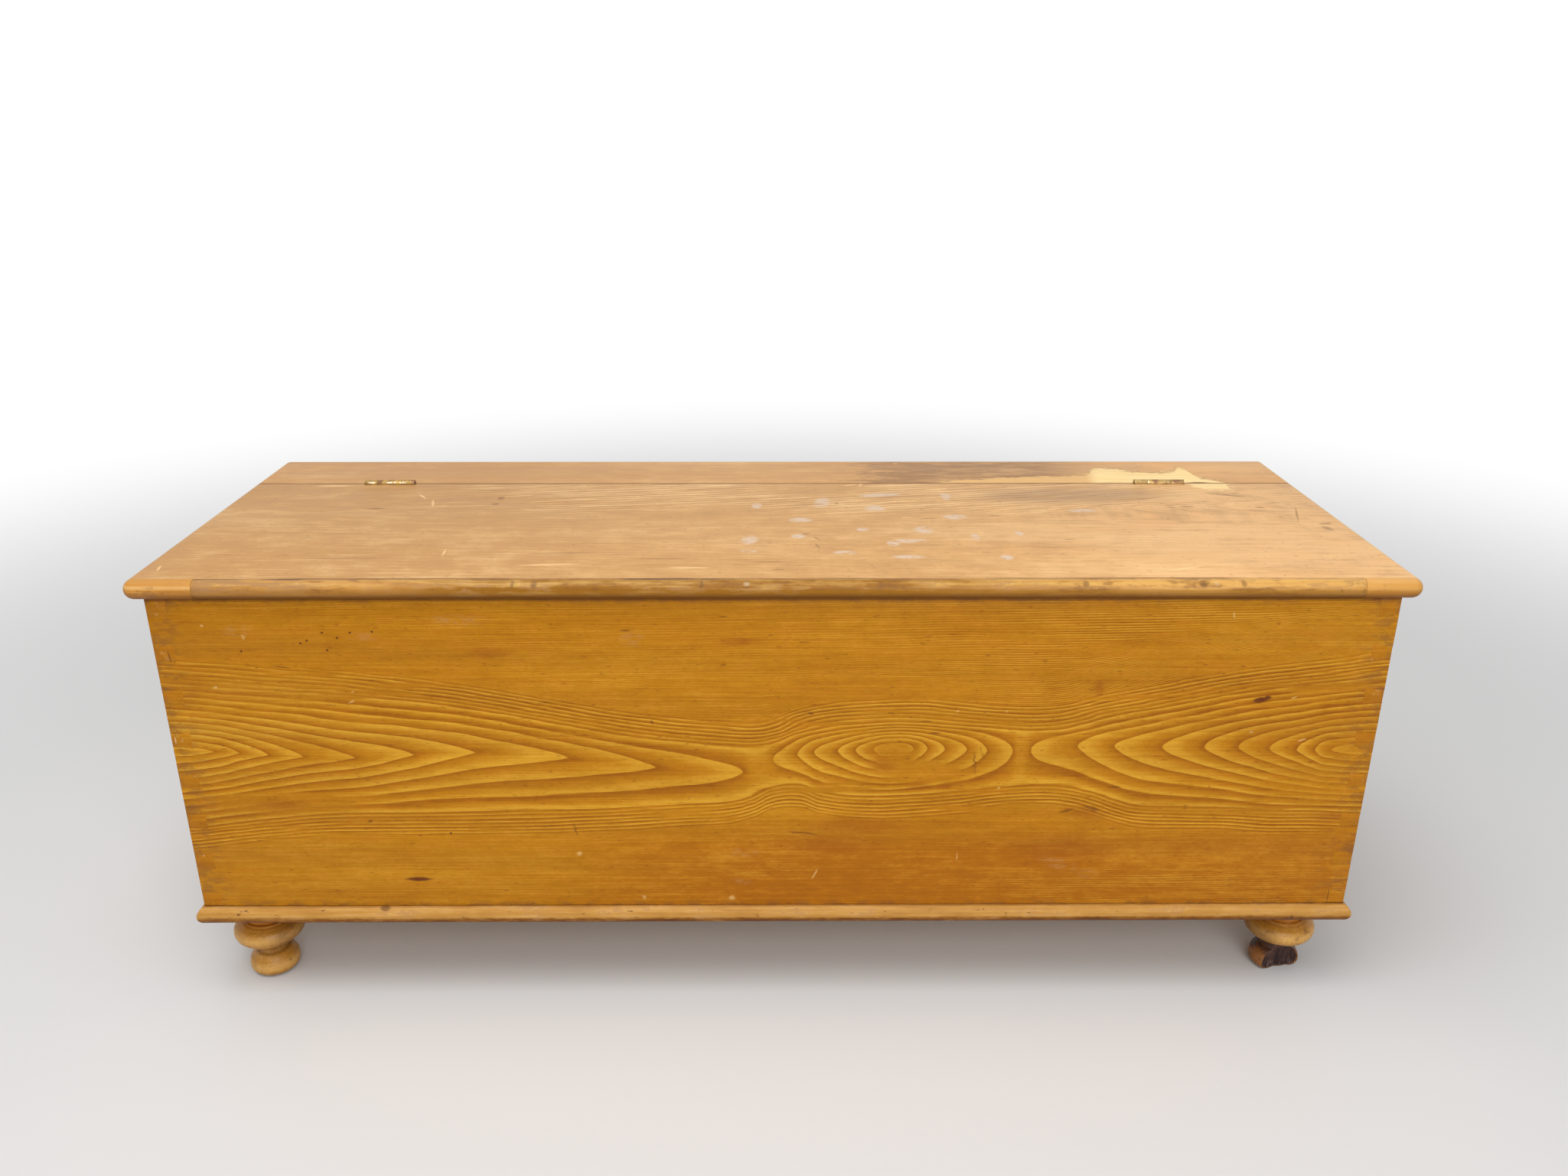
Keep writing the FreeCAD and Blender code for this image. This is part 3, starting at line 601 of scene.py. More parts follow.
def lid_pine():
    """The lid board: rubbed and spotted on top, varnished on its ends with a painted highlight line and
    painted shade low down, brown underneath.
    """
    f = Finish("lid_pine", shine=0.2)
    slant = f.placed(f.at, turn=(0, 0, math.radians(8)))
    level = f.placed(f.at, turn=(0, 0, math.radians(-1)))
    back_half = f.rise(f.split(f.at)[1], -0.04, 0.05)
    middle, tone, streak, thread, mottle, cloud, x, y, z = worn_top(f, f.blend(back_half, level, slant))
    across = f.split(slant)[1]
    arch = ((across + streak * 0.02 - x * x * 0.05) / (8.5 * MM)).fraction()
    drawn = back_half * f.rise(x, -0.5, -0.34) * f.rise(x, 0.62, 0.42) * f.rise(cloud, -0.1, 0.04)
    tone = tone + (f.curve(arch, FLANK_LINE) * 2.0 - 1) * drawn * 0.48
    f.colour = rubbed(f, tone, middle)
    blur = f.noise(f.at, (0.012, 0.008, 0.01), 4, 0.66)
    grey = f.spot(f.at, (0.365, 0.072, LID_TOP), (0.17, 0.05, 0.01), (0, 0, 0.05), 0.7)
    f.lay(grey * f.rise(cloud, -0.2, 0.1) * 0.55, (150, 112, 78))
    chalk = f.spots(f.at, WHITE_BLOOM, 0.5) * f.rise(blur, 0.33, 0.54)
    f.lay(chalk * 0.75, (220, 197, 176))
    f.lay(f.spots(f.at, PALE_LINES, 0.7) * (0.3 + blur * 0.7), (246, 206, 146))
    dash = f.spots(f.at, DARK_DASHES, 0.75) * (0.2 + blur * 0.9)
    f.lay(dash * 0.85, (122, 82, 48))
    fleck = f.rise(f.noise(f.at, (0.009, 0.003, 0.004), 1), 0.68, 0.76)
    f.lay(fleck * 0.6, (144, 98, 56))
    scuff = f.rise(f.noise(f.at, (0.03, 0.0022, 0.004), 2, 0.6, (4, 4, 0)), 0.66, 0.74)
    f.lay(scuff * 0.35, (236, 196, 140))
    fray = f.noise(f.at, (0.016, 0.0024, 0.01), 4, 0.66) - 0.5
    fan = f.join(x + (blur - 0.5) * 0.04, y + (blur - 0.5) * 0.01 + fray * 0.05, z)
    raw = f.spot(fan, (0.556, JOINT_BACK - 0.01, LID_TOP), (0.03, 0.021, 0.01), (0, 0, -0.5), 0.25)
    f.lay(raw, (252, 218, 154))
    torn = f.spot(fan, (0.572, JOINT_BACK - 0.05, LID_TOP), (0.04, 0.006, 0.01), (0, 0, -0.28), 0.8)
    f.lay(torn * 0.6, (130, 88, 50))
    # Painted shade: a dark line along the gap between the lid and the rail.
    painted_gap_shade = f.fade(y, JOINT_BACK, -4, -1.6)
    f.lay(painted_gap_shade * (0.35 + blur * 0.9), (126, 82, 46))
    side = f.fade(z, LID_TOP, -1.2, -4)
    left_gloss = veneer(f, tone * 1.2, (138, 82, 20), (190, 128, 48), (236, 182, 106))
    right_gloss = veneer(f, tone * 0.9, (150, 96, 40), (204, 148, 76), (230, 182, 112))
    f.lay(side * 0.9, f.blend(f.rise(x, -0.2, 0.2), left_gloss, right_gloss))
    corner = f.fade(y, SEAM, 1, -2) * f.fade(z, LID_TOP, -10, -7)
    corner_varnish = f.blend(f.rise(x, -0.2, 0.2), (198, 134, 42), (206, 148, 66))
    f.lay(corner * (0.6 + tone * 0.6), corner_varnish)
    golden = f.fade(z, LID_TOP, -7.5, -10.5) * f.rise(x, -0.2, 0.2)
    f.lay(golden * 0.75, (176, 116, 26))
    # Painted highlight: a pale line along the rounded side, towards the left.
    painted_highlight_line = f.fade(z, LID_TOP, -9, -6) * f.fade(z, LID_TOP, -3, -5)
    painted_highlight_line = painted_highlight_line * f.rise(x, -0.2, -0.3) * (0.4 + blur)
    f.lay(painted_highlight_line * 0.36, (240, 204, 146))
    # Painted shade: the lower part of the rounded side is darker.
    painted_shade_low_side = f.fade(z, LID_UNDER, 11, 2)
    f.lay(painted_shade_low_side * 0.8, (118, 68, 20))
    soot = f.rise(f.noise(f.at, (0.02, 0.02, 0.01), 4, 0.66, (1, 1, 1)), 0.54, 0.66) * side
    f.lay(soot * 0.4, (120, 78, 40))
    under = f.fade(z, LID_UNDER, 2, 0.5)
    f.lay(under, veneer(f, tone * 1.2, (140, 96, 52), (186, 140, 88), (208, 166, 114)))
    seam = f.fade(y, SEAM, 2.2, 0.2) * f.fade(z, LID_TOP, -6, -1)
    seam = seam * f.fade(x.size(), NOSING_END, 1, -1)
    f.lay(seam * f.rise(cloud, -0.08, 0.06) * 0.7, (110, 68, 34))
    rough = 0.56 + mottle * 0.3 - side * 0.12 + chalk * 0.2
    height = thread * 0.5 + streak * 0.4 - dash * 0.8
    return f.surface(rough, height, 0.45 * MM)


# The raw split by the right hinge: its back edge, in shares of its span and of its greatest reach.
SPLIT_START = 0.195
SPLIT_SPAN = 0.4
SPLIT_REACH = 70 * MM
SPLIT_EDGE = (
    (0, 0.02), (0.12, 0.2), (0.25, 0.4), (0.54, 0.58), (0.56, 0.84), (0.61, 0.94), (0.68, 0.85),
    (0.74, 0.75), (0.83, 0.8), (0.868, 1), (0.885, 0.74), (0.895, 0.36), (0.94, 0.25), (0.96, 0.05),
    (1, 0.02),
)
SPLIT_BARE = 0.412


def rail_pine():
    """The fixed rail: as the lid, with a dark stain and a long raw split round the right hinge."""
    f = Finish("rail_pine", shine=0.2)
    middle, tone, streak, thread, mottle, _, x, y, z = worn_top(f, f.placed(f.at, (0.3, 0.2, 0)))
    f.colour = rubbed(f, tone * 0.8, f.blend(0.35, middle, (196, 150, 108)))
    blur = f.noise(f.at, (0.05, 0.012, 0.01), 4, 0.62)
    ragged = (blur - 0.5) * 0.06
    fray = f.noise(f.at, (0.016, 0.0024, 0.01), 4, 0.66) - 0.5
    stain = f.rise(x + ragged * 2 + fray * 0.22, 0.106, 0.15) * f.rise(x + ragged * 2, 0.46, 0.34)
    f.lay(stain * (0.35 + f.rise(blur, 0.35, 0.62) * 0.5), (148, 111, 78))
    edge = f.curve((x - SPLIT_START) / SPLIT_SPAN, SPLIT_EDGE) * SPLIT_REACH + JOINT_BACK - MM
    ends = f.fade(x, SPLIT_START, 0, 10) * f.fade(x, SPLIT_START + SPLIT_SPAN, 0, -8)
    reach = y + (blur - 0.5) * 0.03 + fray * 0.045
    split = f.rise(reach, edge + 0.0012, edge - 0.0012) * ends
    bare = f.rise(x + ragged * 0.4, SPLIT_BARE - 0.012, SPLIT_BARE + 0.01)
    pale = f.blend(bare, (236, 190, 124), (253, 221, 158))
    pale = f.blend(f.rise(thread, 0, 0.12) * 0.6, pale, (236, 190, 122))
    f.lay(split * (0.75 + bare * 0.25), pale)
    torn = f.rise(reach, edge + 0.005, edge + 0.001) * ends - split
    f.lay(torn * bare * 0.5, (138, 92, 50))
    tear = f.spot(f.at, (0.545, JOINT_BACK + 2 * MM, LID_TOP), (0.02, 0.005, 0.01), edge=0.8)
    f.lay(tear * 0.8, (112, 70, 40))
    # Painted shade: a dark line along the gap between the rail and the lid.
    painted_gap_shade = f.fade(y, JOINT_BACK, 2.6, 0.6)
    f.lay(painted_gap_shade * (0.3 + blur * 0.8), (126, 82, 46))
    below = f.fade(z, LID_TOP, -1, -3)
    f.lay(below, veneer(f, tone * 1.2, (140, 92, 46), (184, 134, 78), (208, 162, 106)))
    rough = 0.58 + mottle * 0.3
    height = thread * (0.5 + split) + streak * 0.3 - split * 0.5
    return f.surface(rough, height, 0.5 * MM)


def nosing_nick(x, long, high=5, down=3, turn=0.0, back=3, deep=9):
    """A nick in the strip: place and half sizes in millimetres, turn in radians."""
    where = (x * MM, lid_low.y + back * MM, LID_TOP - down * MM)
    return where, (long * MM, deep * MM, high * MM), (0, turn, 0)


NOSING_DENTS = marks(
    nosing_nick, (-246, 5), (-29, 4), (-268, 3), (439, 7), (480, 4), (318, 5), (-75, 3),
    (580, 2.6, 2.4, 10, 0.2), (603, 1.8, 4.5, 10, 0.2),
)
NOSING_CHIPS = marks(nosing_nick, (-29, 5, 3, 3, 0, 4, 6), (452, 5, 3, 3, 0, 4, 6), (330, 4, 3, 3, 0, 4, 6))


def nosing_pine():
    """The half-round strip: thick varnish, worn grey on the left, nicked, with a painted highlight on its
    crown and painted shade dark along its foot.
    """
    f = Finish("nosing_pine", shine=0.18)
    x, y, z = f.split(f.at)
    streak = f.noise(f.at, (0.1, 0.004, 0.004), 4, 0.62) - 0.5
    cloud = f.noise(f.at, (0.05, 0.02, 0.012), 4, 0.66) - 0.5
    blur = f.noise(f.at, (0.01, 0.006, 0.004), 4, 0.66, (1, 1, 1))
    middle = f.blend(f.rise(x, -0.42, -0.3), (184, 130, 62), (148, 97, 20))
    middle = f.blend(f.rise(x, 0.08, 0.42), middle, (210, 157, 84))
    crown = f.fade(z, LID_TOP, -9, -2)
    # The crown's share of the tone is a painted highlight: the top of the round is paler.
    tone = streak * 1.6 + cloud * 1.8 + (crown - 0.5) * 0.35
    f.colour = veneer(f, tone, (128, 78, 20), middle, (230, 184, 100))
    grey = f.rise(x, -0.44, -0.5) * f.rise(x, -0.597, -0.59) + f.rise(x, -0.59, -0.597) * 0.1
    patch = f.noise(f.at, (0.032, 0.008, 0.003), 4, 0.66, (2, 1, 1)) + f.rise(x, -0.53, -0.58) * 0.1
    grey = grey * f.rise(patch + cloud * 0.5, 0.42, 0.62) * f.fade(z, LID_TOP, -13, -8)
    f.lay(grey * 0.66, (156, 116, 80))
    wear = f.rise(cloud, 0.02, 0.12) * f.rise(blur, 0.4, 0.56)
    f.lay(wear * 0.55, (166, 122, 80))
    grubby = f.rise(cloud, -0.02, -0.12) * f.rise(blur, 0.4, 0.56)
    f.lay(grubby * 0.5, (118, 76, 34))
    glossy = f.rise(x, -0.594, -0.598) * crown
    f.lay(glossy * 0.7, (214, 156, 84))
    seam_run = f.noise(f.at, (0.07, 0.02, 0.02), 2) - 0.5
    seam_long = f.rise(x, -0.47, -0.5) * f.rise(x, -0.6, -0.56)
    seam_long = seam_long + f.rise((x + 0.11).size(), 0.06, 0.04) + 0.35
    seam = f.fade(y, SEAM, -5, -0.5) * f.fade(z, LID_TOP, -4, -1)
    seam = seam * f.rise(seam_run, -0.1, 0.02) * seam_long.at_most(1)
    f.lay(seam * 0.9, (86, 50, 26))
    dent = f.spots(f.at, NOSING_DENTS, 0.7) * (0.3 + blur * 0.8)
    f.lay(dent * 0.8, (104, 68, 38))
    chip = f.spots(f.at, NOSING_CHIPS, 0.8) * f.rise(blur, 0.42, 0.56)
    f.lay(chip * 0.55, (222, 190, 140))
    golden = f.fade(z, LID_TOP, -7, -10.5) * (0.5 + f.rise(x, -0.52, 0.2) * 0.5)
    f.lay(golden * 0.6, (160, 106, 14))
    # Painted shade: the lower part of the round is dark.
    under = f.fade(z, LID_UNDER, 10.5, 2)
    f.lay(under * 0.85, (100, 56, 14))
    rough = 0.34 + wear * 0.2 + grey * 0.2
    return f.surface(rough, streak * 0.5 - seam * 0.8 + blur * 0.2, 0.6 * MM)


MOULDING_DINGS = (
    ((-0.61, moulding_low.y, MOULDING_TOP - 7 * MM), (0.0025, 0.01, 0.002), (0, 0, 0)),
    ((-0.444, FRONT_FACE - 4 * MM, MOULDING_TOP - 1 * MM), (0.008, 0.012, 0.004), (0, 0, 0)),
    ((0.535, moulding_low.y, MOULDING_TOP - 17 * MM), (0.01, 0.01, 0.002), (0, 0.6, 0)),
    ((0.59, moulding_low.y, MOULDING_TOP - 15 * MM), (0.003, 0.01, 0.005), (0, 0, 0)),
)


def moulding_pine():
    """The base moulding: lighter straight-grained pine, rubbed on its crown, golden and darker below."""
    f = Finish("moulding_pine", shine=0.12)
    x, _, z = f.split(f.at)
    across = f.fade(x.size(), moulding_high.x, -1.5, -3.5)
    at = f.blend(across, f.placed(f.at, turn=ALONG_Y), f.at)
    streak = f.noise(at, (0.1, 0.004, 0.0036), 4, 0.62) - 0.5
    cloud = f.noise(at, (0.05, 0.02, 0.012), 4, 0.66) - 0.5
    blur = f.noise(f.at, (0.012, 0.006, 0.005), 4, 0.66, (1, 1, 1))
    tone = streak * 1.5 + cloud * 1.5
    tan = veneer(f, tone, (150, 96, 38), (193, 141, 68), (232, 186, 118))
    gold = veneer(f, tone * 1.3, (94, 50, 10), (136, 80, 14), (184, 130, 48))
    f.colour = f.blend(f.fade(z + (blur - 0.5) * 0.006, MOULDING_UNDER, 12, 7), tan, gold)
    worn = f.rise(cloud, 0.03, 0.14) * f.rise(blur, 0.42, 0.56)
    f.lay(worn * 0.5, (172, 124, 78))
    # Darker towards the bottom, with a ragged edge, and in a thin line along the top against the case.
    dirt = z + (blur - 0.5) * 0.016 + cloud * 0.012
    darker_low_and_top = f.fade(dirt, MOULDING_UNDER, 7, 2.5)
    darker_low_and_top = darker_low_and_top + f.fade(z, MOULDING_TOP, -1.6, -0.4) * blur * 0.7
    f.lay(darker_low_and_top * 0.85, (96, 56, 24))
    ding = f.rise(f.noise(at, (0.012, 0.01, 0.004), 3, 0.6, (5, 2, 1)), 0.67, 0.74)
    ding = ding.at_least(f.spots(f.at, MOULDING_DINGS, 0.6))
    f.lay(ding * 0.75, (106, 64, 32))
    return f.surface(0.42 + cloud * 0.3, streak * 0.5 - ding * 0.8 + blur * 0.3, 0.5 * MM)


def turned_pine(name, lobe_painted_shade=0.0):
    """The turned feet: lathe lines, varnish, dirt, painted shade in the hollows and on the side towards the
    chest, and painted highlights round the widest places.
    """
    f = Finish(name, shine=0.35)
    at = f.placed(f.at, turn=ALONG_Z)
    x, y, z = f.split(f.at)
    axle = f.length(f.join(x.size() - FOOT_X, (y - FOOT_MIDDLE_Y).size() - FOOT_SPREAD_Y, 0))
    strand = f.noise(at, (0.04, 0.0022, 0.0022), 3, 0.62) - 0.5
    cloud = f.noise(f.at, (0.022, 0.022, 0.012), 4, 0.68) - 0.5
    lathe = f.noise(f.at, (0.5, 0.5, 0.0013), 1) - 0.5
    tone = strand * 1.2 + cloud * 1.3 + lathe * 0.8
    f.colour = veneer(f, tone, (134, 82, 20), (184, 128, 44), (228, 180, 100))
    # Painted highlights: pale belts round the widest parts of the ring and the ball.
    painted_highlight_upper_belt = f.rise(z, 0.052, 0.06) * f.rise(z, 0.068, 0.061)
    painted_highlight_lower_belt = f.rise(z, 0.006, 0.013) * f.rise(z, 0.022, 0.015)
    f.lay((painted_highlight_upper_belt + painted_highlight_lower_belt) * 0.4, (232, 184, 108))
    hollow = f.rise(axle, 0.029, 0.024)
    f.lay(hollow * f.rise(z, 0.066, 0.07) * 0.8, (164, 92, 16))
    soot = f.rise(f.noise(f.at, (0.014, 0.014, 0.006), 4, 0.7, (2, 1, 0)), 0.54, 0.66)
    f.lay(soot * 0.45, (100, 62, 28))
    # Painted shade: dark in the cove under the ring, just under the moulding and in a reed of the neck.
    painted_crevice_shade = f.rise(axle, 0.0222, 0.0185) * f.rise(z, 0.052, 0.046)
    painted_crevice_shade = painted_crevice_shade + f.fade(z, MOULDING_UNDER, -5, -0.5)
    painted_crevice_shade = painted_crevice_shade + f.rise(z, 0.0735, 0.0715) * f.rise(z, 0.0675, 0.0695) * hollow
    f.lay(painted_crevice_shade * 0.4, (82, 46, 16))
    # Painted shade: the side of each foot towards the middle of the chest is darker.
    painted_shade_inner_side = f.rise(FOOT_X - x.size(), 0.004, 0.034) * f.rise(z, 0.012, 0.034)
    f.lay(painted_shade_inner_side * (0.35 + cloud) * 1.5, (96, 58, 24))
    # Painted shade on the broken foot's lobe: darker brown low down, nearly black higher up under the ring.
    lobe = f.rise(z + cloud * 0.03, 0.05, 0.045) * lobe_painted_shade
    f.lay(lobe * 0.8, (134, 78, 38))
    f.lay(lobe * f.rise(z + cloud * 0.05, 0.014, 0.026) * 0.9, (62, 40, 32))
    foot = f.rise(z, 0.006, 0.0005)
    f.lay(foot * 0.7, (76, 52, 34))
    rough = 0.38 + soot * 0.25 + foot * 0.2
    return f.surface(rough, lathe * 0.4 + strand * 0.3 - soot * 0.2, 0.5 * MM)


def split_heart():
    """The broken face of the right front foot: dark, dirty, torn along the grain."""
    f = Finish("split_heart", shine=0.3)
    at = f.placed(f.at, turn=ALONG_Z)
    x, _, z = f.split(f.at)
    splinter = f.noise(at, (0.03, 0.0016, 0.0016), 4, 0.65)
    cloud = f.noise(f.at, (0.012, 0.012, 0.01), 4, 0.66)
    f.colour = f.blend(f.rise(splinter, 0.4, 0.62), (44, 27, 24), (76, 48, 40))
    upper_left = f.rise(z + (FOOT_X - x) * 0.8 + (cloud - 0.5) * 0.03, 0.024, 0.04)
    f.lay(upper_left * 0.8, (112, 72, 52))
    # Painted highlight: a pale grey glint low on the broken face.
    painted_glint = f.rise(z, 0.013, 0.006) * f.rise(splinter, 0.48, 0.62)
    f.lay(painted_glint * 0.6, (138, 118, 112))
    return f.surface(0.5 + splinter * 0.3, splinter, 1.2 * MM)


# ---- metal

def hinge_brass(name, bright, dull, gleams, stains):
    """Old tarnished brass, with painted highlights as gleams where it is rubbed, and with brown stains."""
    f = Finish(name, Metallic=0.75)
    cloud = f.noise(f.at, (0.008, 0.004, 0.004), 4, 0.65)
    fleck = f.noise(f.at, (0.0016, 0.0012, 0.0012), 3, 0.6)
    painted_gleam_and_rub = f.spots(f.at, marks(painted_barrel_gleam, *gleams), 0.7) * (0.7 + cloud * 0.6)
    brown = f.spots(f.at, marks(barrel_stain, *stains), 0.4)
    f.colour = f.blend(f.rise(cloud, 0.4, 0.6), dull, bright)
    # Painted highlights: near-white gleams on the barrels, laid where the brass is also rubbed.
    f.lay(painted_gleam_and_rub * 0.7, (250, 230, 204))
    f.lay(brown * 0.8, (128, 88, 66))
    f.lay(f.rise(fleck, 0.58, 0.75) * 0.6, (78, 56, 30))
    return f.surface(0.52 - painted_gleam_and_rub * 0.1, fleck * 0.5 + cloud * 0.5, 0.16 * MM)


def painted_barrel_gleam(x, long):
    """A thin painted highlight low on a barrel's front: its place and half length along the chest in
    millimetres.
    """
    return (x * MM, JOINT_BACK - 4 * MM, LID_TOP + 2.4 * MM), (long * MM, 2 * MM, 1.4 * MM), (0, 0, 0)


def barrel_stain(x, long):
    """A stain round a barrel, given in the same way."""
    return (x * MM, JOINT_BACK, LID_TOP + 3 * MM), (long * MM, 8 * MM, 5 * MM), (0, 0, 0)


def stopped_heads():
    """The rail's nail heads, stopped over with filler in the colour of the wood."""
    f = Finish("rail_stopping", shine=0.2)
    middle, tone, streak, thread, mottle, *_ = worn_top(f, f.placed(f.at, (0.3, 0.2, 0)))
    f.colour = rubbed(f, tone * 0.8 - 0.1, f.blend(0.35, middle, (196, 150, 108)))
    return f.surface(0.6 + mottle * 0.3, thread * 0.5 + streak * 0.3, 0.4 * MM)


def dark_iron(name, steel, rust, share):
    """Nails, screws and pins: dark iron with rust in its hollows."""
    f = Finish(name, Metallic=0.85)
    cloud = f.noise(f.at, (0.004, 0.004, 0.004), 4, 0.65)
    grit = f.noise(f.at, (0.0008, 0.0008, 0.0008), 2)
    f.colour = f.blend(f.rise(cloud, share, share + 0.2), steel, rust)
    return f.surface(0.45 + cloud * 0.3, grit * 0.4 + cloud * 0.6, 0.12 * MM)


# ---- working on pieces

def take_up(piece):
    """Make one piece the only one selected, and the active one."""
    bpy.ops.object.select_all(action="DESELECT")
    piece.select_set(True)
    bpy.context.view_layer.objects.active = piece


def bench_copy(node):
    """A merged copy of a CAD node's mesh, with whole faces, to be worked on."""
    piece = bpy.data.objects.new(f"{node}_worn", nodes[node].data.copy())
    bpy.context.scene.collection.objects.link(piece)
    take_up(piece)
    bpy.ops.mesh.customdata_custom_splitnormals_clear()
    bpy.ops.object.mode_set(mode="EDIT")
    bpy.ops.mesh.select_mode(type="VERT")
    bpy.ops.mesh.select_all(action="SELECT")
    bpy.ops.mesh.remove_doubles(threshold=0.01 * MM)
    bpy.ops.mesh.dissolve_limited(angle_limit=math.radians(0.5))
    bpy.ops.mesh.select_all(action="DESELECT")
    bpy.ops.object.mode_set(mode="OBJECT")
    return piece


def ease_edges(piece, width, segments, angle):
    """Wear every sharp edge of a piece to a small round."""
    take_up(piece)
    bpy.ops.object.modifier_add(type="BEVEL")
    bevel = piece.modifiers[-1]
    bevel.width = width
    bevel.segments = segments
    bevel.limit_method = "ANGLE"
    bevel.angle_limit = math.radians(angle)
    bpy.ops.object.modifier_apply(modifier=bevel.name)
    bpy.ops.object.shade_smooth_by_angle(angle=math.radians(angle))


def divide_length(piece, cuts, axis):
    """Cut a long piece across its length, so that its surface can be worn."""
    take_up(piece)
    bpy.ops.object.mode_set(mode="EDIT")
    bpy.ops.mesh.select_mode(type="EDGE")
    mesh = bmesh.from_edit_mesh(piece.data)
    longest = max(edge.calc_length() for edge in mesh.edges)
    for edge in mesh.edges:
        run = edge.verts[0].co - edge.verts[1].co
        edge.select_set(abs(run[axis]) > longest * 0.8)
    bmesh.update_edit_mesh(piece.data)
    bpy.ops.mesh.subdivide(number_cuts=cuts)
    bpy.ops.object.mode_set(mode="OBJECT")


def stretch_grain(piece, times):
    """Stretch or squeeze a piece in height, so that wear worked in between runs upright."""
    take_up(piece)
    bpy.ops.transform.resize(value=(1, 1, times), center_override=(0, 0, 0))
    bpy.ops.object.transform_apply(location=True, rotation=False, scale=True)


def wear(piece, depth, size, name, group="", direction="NORMAL"):
    """Rub a piece down unevenly, never outwards: all of it, or one group of its points."""
    take_up(piece)
    bpy.ops.object.modifier_add(type="DISPLACE")
    rub = piece.modifiers[-1]
    rub.texture = bpy.data.textures.new(name, "CLOUDS")
    rub.texture.noise_scale = size
    rub.texture.noise_depth = 2
    rub.texture_coords = "LOCAL"
    rub.vertex_group = group
    rub.direction = direction
    rub.mid_level = 0.0 if group else 1.0
    rub.strength = depth
    bpy.ops.object.modifier_apply(modifier=rub.name)


def dress(piece, body, slot, material, *replaced):
    """Give a finished piece its material, its body and the nodes it stands for."""
    piece.data.materials.clear()
    piece.data.materials.append(material)
    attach(piece, body)
    if replaced:
        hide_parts(*replaced)


def refinish(node, body, slot, material, ease, segments=2, angle=32, cuts=0, axis=0, lump=0.0):
    """Put a finished copy with eased edges in a CAD node's place. One with cuts is rubbed down first."""
    piece = bench_copy(node)
    if cuts:
        divide_length(piece, cuts, axis)
        wear(piece, RUB_DEPTH, lump, f"{node}_wear")
    ease_edges(piece, ease, segments, angle)
    dress(piece, body, slot, material, node)


def paint(node, material):
    """Give a CAD node that stays as it is its finish."""
    for place in nodes[node].material_slots:
        place.material = material


# ---- the case

BOARD_EASE = 0.35 * MM
ROUGH_EASE = 0.6 * MM
RAIL_EASE = 0.8 * MM
FINE_EASE = 0.2 * MM
NOSING_EASE = 0.15 * MM
RUB_DEPTH = 0.5 * MM
MOULDING_LUMPS = 20 * MM
NOSING_LUMPS = 18 * MM

varnished_end = end_pine()
back_wood = bare_pine(
    "back_pine", (188, 140, 86), (140, 92, 46), ALONG_X, (0.29, 0.36), 3.6 * MM, 0.08, ends=END_FACE,
)
floor_wood = bare_pine(
    "bottom_pine", (200, 156, 104), (154, 108, 62), ALONG_X, (0.02, 0.04), 3.2 * MM, 0.12,
)
wedge_wood = bare_pine(
    "wedge_pine", (206, 166, 112), (160, 116, 70), ALONG_Z, (0.4, 0.4), 2.2 * MM, 0.04,
)
moulding_wood = moulding_pine()

refinish("front_board", "case", "front_pine", front_pine(), BOARD_EASE)
refinish("back_board", "case", "secondary_pine", back_wood, BOARD_EASE)
for side in ("left", "right"):
    refinish(f"{side}_end_board", "case", "end_pine", varnished_end, BOARD_EASE)
for place in ("front", "middle", "rear"):
    refinish(f"bottom_board_{place}", "case", "bare_pine", floor_wood, ROUGH_EASE)
for place, axis, cuts in (("front", 0, 160), ("left", 1, 60), ("right", 1, 60)):
    node = f"base_moulding_{place}"
    refinish(node, "case", "moulding_pine", moulding_wood, FINE_EASE, 1, 50, cuts, axis, MOULDING_LUMPS)

foot_wood = turned_pine("turned_pine")
for node in ("foot_front_left", "foot_rear_left", "foot_rear_right"):
    paint(node, foot_wood)

WHOLE_GRID = 0.8 * MM
TEAR_DEPTH = 2.4 * MM
TORN_GRAIN = 4 * MM
GRAIN_STRETCH = 5
TORN_FROM = 0.2

broken_foot = bench_copy("foot_front_right")
broken_foot.data.remesh_voxel_size = WHOLE_GRID
bpy.ops.object.voxel_remesh()
whole = BVHTree.FromObject(nodes["foot_front_left"], bpy.context.evaluated_depsgraph_get())
torn = broken_foot.vertex_groups.new(name="torn")
to_whole = Vector((-2 * FOOT_X, 0, 0))
for vertex in broken_foot.data.vertices:
    inside = (whole.find_nearest(vertex.co + to_whole)[3] - WHOLE_GRID) / MM
    torn.add([vertex.index], min(max(inside, 0), 1), "REPLACE")
stretch_grain(broken_foot, 1 / GRAIN_STRETCH)
wear(broken_foot, TEAR_DEPTH, TORN_GRAIN, "torn_grain", "torn", "Y")
stretch_grain(broken_foot, GRAIN_STRETCH)
bpy.ops.object.shade_smooth_by_angle(angle=math.radians(40))
dress(broken_foot, "case", "turned_pine", turned_pine("turned_pine_broken", 1), "foot_front_right")
broken_foot.data.materials.append(split_heart())
for face in broken_foot.data.polygons:
    weights = [broken_foot.data.vertices[corner].groups[0].weight for corner in face.vertices]
    face.material_index = 1 if min(weights) > TORN_FROM else 0
paint("foot_tenon_wedges", wedge_wood)

# ---- the top

refinish("top_rear_rail", "case", "top_pine", rail_pine(), RAIL_EASE)
refinish("lid_board", "lid", "top_pine", lid_pine(), ROUGH_EASE, 2, 40)
refinish("lid_front_nosing", "lid", "nosing_pine", nosing_pine(), NOSING_EASE, 1, 50, 240, 0, NOSING_LUMPS)

# ---- hinges, nails and screws

